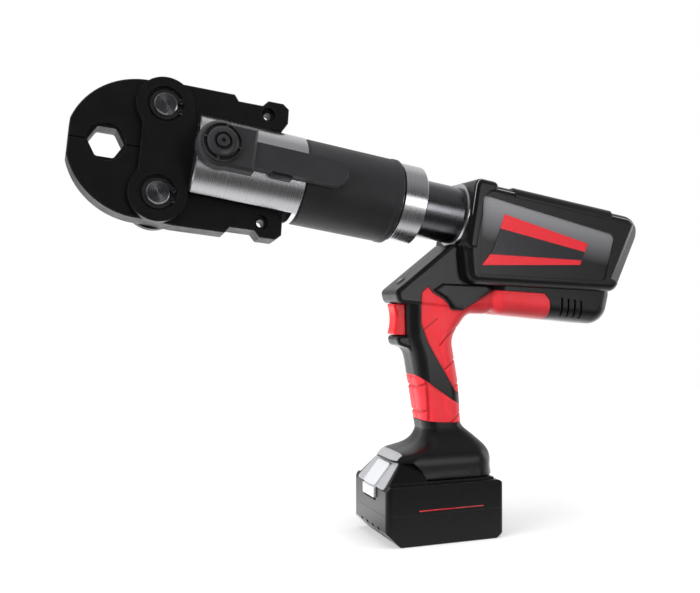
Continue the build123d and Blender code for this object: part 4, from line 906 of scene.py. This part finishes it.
@dataclass
class LockLever(SubAssembly):
    """Lever that turns on the lock pin, with its pierced cap and its catch."""

    cap_base: float = 53.6
    cap: Line = (  # over the wall, the slot, the dome and the groove to the dot
        (0.0, 0.0), (16.5, 0.0), (16.5, 2.2), (16.2, 2.6), (15.8, 2.6), (15.6, 2.4), (15.6, 0.4), (12.9, 0.4),
        (12.9, 3.6), (12.4, 4.2), (10.7, 4.8), (8.5, 5.3), (7.7, 5.3), (7.4, 5.0), (7.4, 2.8), (5.2, 2.8),
        (5.2, 5.3), (4.7, 5.8), (3.8, 6.0), (2.1, 6.0), (1.7, 5.7), (1.7, 3.6), (0.0, 3.6))
    shade_rings: tuple[tuple[str, Point3], ...] = (  # painted shade, black rings on the slot and groove floors: inner and outer radius, and foot
        ("cap_slot_shade_ring", (12.7, 15.8, 0.3)), ("cap_groove_shade_ring", (5.0, 7.6, 2.7)))
    shade_ring_height: float = 0.3
    spoke: Line = ((12.5, -1.0), (16.0, -1.0), (16.0, 1.0), (12.5, 1.0))
    spoke_span: Point2 = (0.2, 2.5)
    spoke_edge: float = 0.25
    spoke_start: float = 82.0
    spoke_count: int = 4
    lever_low: float = 40.6
    catch: Line = ((47.0, -17.6), (63.5, -17.6), (65.0, -13.4), (46.0, -13.4))
    catch_span: Point2 = (0.6, 7.0)
    catch_edge: float = 0.6
    FINISHES = {LEVER_NYLON: "lock_lever", GROUND_STEEL: "lock_pin"}

    def build(self) -> None:
        """Dress the lever, and add the cap's face, black rings that paint the shade on its slot and groove
        floors, its spokes, and the catch.
        """
        super().build()
        on_cap = LOCK.matrix(0, 0, self.cap_base)
        settle(to_mesh(lathe(self.cap, 128), on_cap), "lock_cap_face", LEVER_NYLON, "lever",
               replaces=("lock_cap",))
        # painted shade: black rubber-finished rings on the floors of the slot and groove
        for name, (inner, outer, low) in self.shade_rings:
            high = low + self.shade_ring_height
            shade_ring = lathe(((inner, low), (outer, low), (outer, high), (inner, high), (inner, low)))
            settle(to_mesh(shade_ring, on_cap), name, SEAL_RUBBER, "lever")
        spoke = prism(self.spoke, *self.spoke_span, self.spoke_edge)
        turn = Matrix.Rotation(math.radians(self.spoke_start), 3, "Z")
        bmesh.ops.rotate(spoke, cent=(0, 0, 0), matrix=turn, verts=spoke.verts)
        turn_each = (0.0, 0.0, 2 * math.pi / self.spoke_count)
        spokes = REPEAT.run(spoke, LEVER_NYLON, self.spoke_count, turn=turn_each)
        spokes.transform(on_cap)
        settle(spokes, "lock_cap_spokes", LEVER_NYLON, "lever")
        catch = prism(self.catch, *self.catch_span, self.catch_edge)
        on_lever = LOCK.matrix(0, 0, self.lever_low)
        settle(to_mesh(catch, on_lever), "lever_catch", LEVER_NYLON, "lever")


@dataclass
class RamHead(SubAssembly):
    """Yoke, cylinder, sleeve, collar, and the ram with its rollers."""

    FINISHES = {
        TURNED_STEEL: "yoke collar_ring bezel_ring",
        SLEEVE_NYLON: "sleeve",
        BLACK_CHROME: "barrel_tube",
        GROUND_STEEL: "roller_fork roller_axles roller_upper roller_lower piston return_spring cylinder"
                      " swivel_ring",
        SEAL_RUBBER: "piston_seal rod_seal",
    }


@dataclass
class Housing(SubAssembly):
    """Both shells with their trim, lamp ring, and dark liners that paint the shade behind the vents."""

    vent_first: Point2 = (133.0, 216.0)
    vent_step: Point2 = (7.4, -1.0)
    vent_count: int = 4
    vent_back: float = 22.2
    shade_liner: Point3 = (3.4, 19.0, 1.6)  # dark liner that paints the shade behind a vent: width, height and corner radius
    shade_liner_thickness: float = 0.8
    shade_liner_edge: float = 0.2
    led: Place = Place(Vector((-28.52, 0.0, 240.85)), Vector((0.0, 1.0, 0.0)), Vector((-0.6124, 0.0, 0.7906)))
    lamp_ring: Line = ((3.6, -1.0), (5.3, -1.0), (5.3, 0.1), (4.9, 0.5), (3.9, 0.5), (3.6, 0.2), (3.6, -1.0))
    FINISHES = {
        HOUSING_ABS: "housing_left housing_right",
        TRIM_ABS: "top_rail release_paddle",
        LABEL: "label_plates",
        SILVER: "brow_patch",
        LENS: "led_lens",
        GROUND_STEEL: "housing_screws",
    }

    def build(self) -> None:
        """Dress the shells and add the lamp ring and the dark liners that paint the shade behind the vents.
        """
        super().build()
        ring = to_mesh(lathe(self.lamp_ring, 48), self.led.matrix())
        settle(ring, "lamp_ring", TRIM_ABS, "body")
        # painted shade: a near-black liner behind each vent slot
        for name, start in (("vent_shade_liner_left", self.vent_back),
                            ("vent_shade_liner_right", -self.vent_back - self.shade_liner_thickness)):
            shade_liner = prism(rounded(*self.shade_liner), 0.0, self.shade_liner_thickness, self.shade_liner_edge)
            row = REPEAT.run(shade_liner, SEAL_RUBBER, self.vent_count, step=(*self.vent_step, 0.0))
            row.transform(SIDE.matrix(*self.vent_first, start))
            settle(row, name, SEAL_RUBBER, "body")


@dataclass
class GripPads(SubAssembly):
    """Red rubber on handle and belly: finger rolls in front, flats and slanted grooves behind."""

    voxel: float = 0.7
    roll_size: Point2 = (2.2, 1.3)  # half width and depth
    roll_grooves: tuple[Line, ...] = (
        ((-40.0, 134.0), (-27.0, 137.4), (-18.1, 140.2), (-10.0, 143.4)),
        ((-40.0, 110.0), (-22.8, 113.9), (-18.1, 114.8), (-8.4, 118.0)),
        ((-10.2, 150.0), (-9.8, 145.8), (-8.2, 131.4), (-6.6, 109.3), (-6.2, 100.0)),
    )
    thin_size: Point2 = (1.3, 1.0)
    thin_grooves: tuple[Line, ...] = (
        ((4.0, 179.9), (15.2, 191.8), (40.0, 204.0)),
        ((9.3, 157.2), (19.5, 165.6), (44.0, 170.0)),
        ((0.8, 204.9), (-11.9, 195.5)),
        ((14.0, 136.5), (22.4, 142.7), (46.0, 147.0)),
        ((15.7, 106.3), (23.3, 113.6), (46.0, 121.0)),
    )
    upper_flat: Line = ((-0.3, 238.0), (-0.3, 226.1), (0.8, 188.6), (4.0, 171.3), (6.6, 160.6), (10.0, 146.0))
    upper_span: Point2 = (150.0, 250.0)
    lower_flat: Line = ((4.5, 148.0), (7.2, 133.6), (9.3, 121.0), (11.4, 105.5), (12.4, 98.0))
    lower_span: Point2 = (90.0, 150.0)
    flat_run: float = 2.6
    flat_depth: float = 0.9
    belly_start: float = 40.0
    belly_middle: float = 225.0
    lean_top: float = 210.0
    lean: float = 9.6 / 105.0
    rim_face: float = 0.1
    rim_fade: float = 0.4
    # strength of the painted shade in the grooves
    groove_shade: float = 0.7

    def build(self) -> None:
        """Make both sides' pads."""
        for side in ("left", "right"):
            node = f"grip_pads_{side}"
            mesh = self.smooth_copy(node)
            self.press_grooves(mesh)
            settle(mesh, f"rubber_{side}", GRIP_RUBBER, "body", 60.0, (node,))

    def smooth_copy(self, node: str) -> Mesh:
        """Remesh a pad's solid into even small faces with soft rims.

        Args:
            node: The pad's solid.

        Returns:
            The new mesh, in world metres.
        """
        shape = bmesh.new()
        shape.from_mesh(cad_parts[node].data)
        holder = put("pad_holder", to_mesh(shape, weld=1e-6))
        even = holder.modifiers.new("even", "REMESH")
        even.mode = "VOXEL"
        even.voxel_size = self.voxel * MM
        soft = holder.modifiers.new("soft", "SMOOTH")
        soft.factor = 0.5
        soft.iterations = 3
        return bake(holder)

    def press_grooves(self, mesh: Mesh) -> None:
        """Press the grooves and flats into a pad's outside, and store painted shade along the grooves for the
        finish.

        Args:
            mesh: The pad's mesh, which is changed.
        """
        spots, normals = np.empty(len(mesh.vertices) * 3), np.empty(len(mesh.vertices) * 3)
        mesh.vertices.foreach_get("co", spots)
        mesh.vertex_normals.foreach_get("vector", normals)
        spots, normals = spots.reshape(-1, 3), normals.reshape(-1, 3)
        flat = spots[:, (0, 2)] / MM
        along, height = flat.T
        belly = along > self.belly_start
        depth, dark = np.zeros(len(flat)), np.zeros(len(flat))
        for lines, (half, deep) in ((self.roll_grooves, self.roll_size), (self.thin_grooves, self.thin_size)):
            for line in lines:
                near = np.clip(1.0 - self.distance(flat, line) / half, 0.0, 1.0)
                near = near * near * (3.0 - 2.0 * near)
                depth = np.maximum(depth, deep * near)
                dark = np.maximum(dark, near)
        rolls = self.station(self.roll_grooves[-1][1:], height)
        flats = ((self.upper_flat, self.upper_span, -np.inf), (self.lower_flat, self.lower_span, rolls))
        for line, (low, high), rear in flats:
            ahead = np.clip((self.station(line, height) + self.flat_run - along) / self.flat_run, 0.0, 1.0)
            within = (height > low) & (height <= high) & (along > rear) & ~belly
            depth = np.maximum(depth, np.where(within, self.flat_depth * ahead, 0.0))
        middle = np.where(belly, along, (self.lean_top - height) * self.lean)
        rise = np.where(belly, height - self.belly_middle, 0.0)
        out = np.stack([along - middle, spots[:, 1] / MM, rise], axis=1)
        out /= np.maximum(np.linalg.norm(out, axis=1, keepdims=True), 1e-9)
        outside = np.clip((np.sum(out * normals, axis=1) - self.rim_face) / self.rim_fade, 0.0, 1.0)
        spots -= normals * (depth * outside * MM)[:, None]
        mesh.vertices.foreach_set("co", spots.ravel())
        # painted shade: darkening along the grooves on the pad's outside
        shade = (dark * outside * self.groove_shade).astype(np.float32)
        mesh.attributes.new("painted_groove_shade", "FLOAT", "POINT").data.foreach_set("value", shade)
        mesh.update()

    @staticmethod
    def station(line: Line, height: np.ndarray) -> np.ndarray:
        """Station of a line that runs downwards, at each height."""
        return np.interp(height, [z for _, z in line[::-1]], [x for x, _ in line[::-1]])

    @staticmethod
    def distance(points: np.ndarray, line: Line) -> np.ndarray:
        """Distance of points from a line of straight runs, in the side view.

        Args:
            points: Rows of x and z in millimetres.
            line: The line's corners.

        Returns:
            One distance for each point.
        """
        best = np.full(len(points), np.inf)
        for start, end in zip(line, line[1:]):
            first, run = np.array(start), np.subtract(end, start)
            share = np.clip((points - first) @ run / (run @ run), 0.0, 1.0)
            best = np.minimum(best, np.linalg.norm(points - first - share[:, None] * run, axis=1))
        return best


@dataclass
class Controls(SubAssembly):
    """Trigger, and the parts behind it."""

    FINISHES = {
        TRIGGER_ABS: "trigger",
        SWITCH_NYLON: "switch_box terminal_block",
        BOARD: "control_board",
    }


@dataclass
class Drive(SubAssembly):
    """Pump, gearbox and motor inside the body."""

    FINISHES = {
        CAST_ALUMINIUM: "pump_block",
        PLATED_STEEL: "gearbox_case motor_can",
        COPPER: "motor_rotor",
        SEAL_RUBBER: "oil_bladder",
        GROUND_STEEL: "eccentric_shaft planet_gears pump_plunger",
    }


@dataclass
class Battery(SubAssembly):
    """Slide-on battery with its latch, and a plain stripe along each side."""

    half_width: float = 42.0
    stripe_height: float = 31.5
    stripe: Point2 = (-28.0, 37.5)
    stripe_width: float = 1.1
    stripe_round: float = 0.5
    stripe_sunk: float = 0.1
    stripe_proud: float = 0.05
    stripe_edge: float = 0.02
    FINISHES = {
        BATTERY_ABS: "battery_lower_case battery_upper_case",
        SILVER: "latch_plate",
        LATCH_SILVER: "battery_latch",
        GROUND_STEEL: "latch_spring",
        CELL_WRAP: "battery_cells",
        BRASS: "battery_contacts",
    }

    def build(self) -> None:
        """Dress the battery, and add its stripes."""
        super().build()
        start, end = self.stripe
        for name, side in (("battery_stripe_left", 1), ("battery_stripe_right", -1)):
            band = prism(rounded(end - start, self.stripe_width, self.stripe_round), -self.stripe_sunk,
                         self.stripe_proud, self.stripe_edge)
            place = SIDE.matrix((start + end) / 2, self.stripe_height, side * self.half_width)
            flip = Matrix.Diagonal((1.0, 1.0, side, 1.0))
            settle(to_mesh(band, place @ flip), name, TRIGGER_ABS, "battery")


# Studio


def facing(place: Point3, aim: Point3) -> Euler:
    """Turn that points a lamp or camera from its place at an aim."""
    return (Vector(aim) - Vector(place)).to_track_quat("-Z", "Y").to_euler()


@dataclass(frozen=True)
class Softbox:
    """A square soft lamp: its place and aim in metres, size, power, and whether the tool mirrors it."""

    name: str
    place: Point3
    aim: Point3
    size: float
    power: float
    mirrored: bool = False

    def build(self) -> None:
        """Hang the lamp."""
        light = bpy.data.lights.new(self.name, "AREA")
        light.shape = "SQUARE"
        light.size = self.size
        light.energy = self.power
        lamp = put(self.name, light)
        lamp.visible_glossy = self.mirrored
        lamp.location = self.place
        lamp.rotation_euler = facing(self.place, self.aim)


@dataclass
class Studio:
    """Pale floor, soft lamps, a white surround, and the camera."""

    eye: Point3 = (-0.3531, -0.7518, 0.226)
    aim: Point3 = (-0.0795, 0.0, 0.226)
    lens: float = 44.23
    sensor: float = 36.0
    lamps: tuple[Softbox, ...] = (
        Softbox("key_softbox", (-1.7, -0.4, 0.65), (-0.05, 0.0, 0.25), 1.4, 38.0),
        Softbox("top_softbox", (0.0, -0.4, 1.6), (-0.05, 0.0, 0.3), 1.8, 19.0),
        Softbox("rear_softbox", (1.4, -0.25, 0.4), (0.1, 0.0, 0.25), 0.9, 7.0, mirrored=True),
    )
    fill_light: float = 0.45
    strip_power: float = 10.0
    strip_scale: Point3 = (9.0, 0.0, 3.8)
    strip_shift: Point3 = (-3.3, 0.0, 0.0)
    floor_radius: float = 1.5
    floor_gap: float = 0.0005
    floor_colours: tuple[str, str] = ("#d6d6d6", "#dcdcdc")
    floor_patch: float = 40.0
    card_colour: str = "#101010"
    card_weight: float = 0.9
    bounce_cut: float = 0.8

    def build(self) -> None:
        """Make camera, lamps, surround and floor."""
        scene = bpy.context.scene
        view = bpy.data.cameras.new("camera")
        view.lens = self.lens
        view.sensor_width = self.sensor
        camera = scene.camera = put("camera", view)
        camera.location = self.eye
        camera.rotation_euler = facing(self.eye, self.aim)
        scene.view_settings.view_transform = "Standard"
        for lamp in self.lamps:
            lamp.build()
        self.surround()
        self.floor()

    def surround(self) -> None:
        """White for the eye; for reflections white behind and above, dark in front but for a strip."""
        world = bpy.data.worlds.new("white_studio")
        bpy.context.scene.world = world
        world.use_nodes = True
        tree = world.node_tree
        tree.nodes.clear()
        way = add_node(tree, "ShaderNodeTexCoord")["Generated"]
        axes = split(tree, way)
        behind = spread(tree, axes["Y"], 0.07, 1.0, -0.3, 0.4)
        above = spread(tree, axes["Z"], 0.0, 0.6, 0.2, 0.9)
        reach = vector(tree, "LENGTH", vector(tree, "MULTIPLY_ADD", way, self.strip_scale, self.strip_shift))
        strip = calc(tree, "MULTIPLY", spread(tree, reach, self.strip_power, 0.0, 0.4, 1.2),
                     spread(tree, axes["Y"], 1.0, 0.0, -0.4, -0.1))
        mirrored = calc(tree, "MAXIMUM", calc(tree, "MAXIMUM", behind, above), strip)
        path = add_node(tree, "ShaderNodeLightPath")
        lit = add_node(tree, "ShaderNodeMix", {0: path["Is Glossy Ray"], 2: self.fill_light, 3: mirrored})[0]
        level = calc(tree, "MAXIMUM", self.seen(tree, path), lit)
        ground = add_node(tree, "ShaderNodeBackground", {"Color": (1.0, 1.0, 1.0, 1.0), "Strength": level})
        add_node(tree, "ShaderNodeOutputWorld", {"Surface": ground[0]})

    @staticmethod
    def seen(tree: Tree, path: Outputs) -> Socket:
        """1 for rays that the eye follows straight or through the lens."""
        return calc(tree, "MAXIMUM", path["Is Camera Ray"], path["Is Transmission Ray"])

    def floor(self) -> None:
        """A pale floor that looks white, keeps the tool's shadow, and mirrors as if dark cards lay on it."""
        shape = bmesh.new()
        bmesh.ops.create_circle(shape, cap_ends=True, segments=96, radius=self.floor_radius)
        floor = put("floor", to_mesh(shape))
        floor.location = (0.0, 0.0, -self.floor_gap)
        paint = bpy.data.materials.new("matt_white_paint")
        paint.use_nodes = True
        self.paint_floor(paint.node_tree)
        floor.data.materials.append(paint)

    def paint_floor(self, tree: Tree) -> None:
        """Give the floor its paint, its dark cards and its glow.

        Args:
            tree: The paint's tree.
        """
        tree.nodes.clear()
        path = add_node(tree, "ShaderNodeLightPath")
        spot = spot_on_piece(tree)
        depth = split(tree, spot)["Y"]
        off = calc(tree, "ABSOLUTE", depth)
        card = calc(tree, "MULTIPLY", spread(tree, off, 0.0, self.card_weight, 0.12, 0.26),
                    spread(tree, off, 1.0, 0.0, 0.6, 0.9))
        bounce = calc(tree, "MULTIPLY", path["Is Diffuse Ray"], self.bounce_cut)
        dark = calc(tree, "MULTIPLY_ADD", path["Is Glossy Ray"], card, bounce)
        tone = blend(tree, cloud(tree, self.floor_patch, 3.0), *(linear(code) for code in self.floor_colours))
        tone = blend(tree, dark, tone, linear(self.card_colour))
        matt = add_node(tree, "ShaderNodeBsdfDiffuse", {"Color": tone})
        rise = spread(tree, vector(tree, "LENGTH", spot), 0.3, 1.0, 0.35, 1.2)
        near = spread(tree, off, 0.6, 0.05, 0.05, 0.2)
        bright = calc(tree, "ADD", near, spread(tree, depth, 0.0, 2.0, 0.02, 0.1))
        mirrored = calc(tree, "MULTIPLY", path["Is Glossy Ray"], bright)
        lift = calc(tree, "MULTIPLY_ADD", self.seen(tree, path), rise, mirrored)
        glow = add_node(tree, "ShaderNodeEmission", {"Color": (1.0, 1.0, 1.0, 1.0), "Strength": lift})
        both = add_node(tree, "ShaderNodeAddShader", {0: matt[0], 1: glow[0]})
        add_node(tree, "ShaderNodeOutputMaterial", {"Surface": both[0]})


def main() -> None:
    """Build every sub-assembly, then the studio."""
    logging.basicConfig(level=logging.INFO, format="%(message)s")
    for part in (JawSet(), LockLever(), RamHead(), Housing(), GripPads(), Controls(), Drive(), Battery(),
                 Studio()):
        part.build()
        LOG.info("built %s", type(part).__name__)
    bpy.context.view_layer.update()


if __name__ == "__main__":
    main()
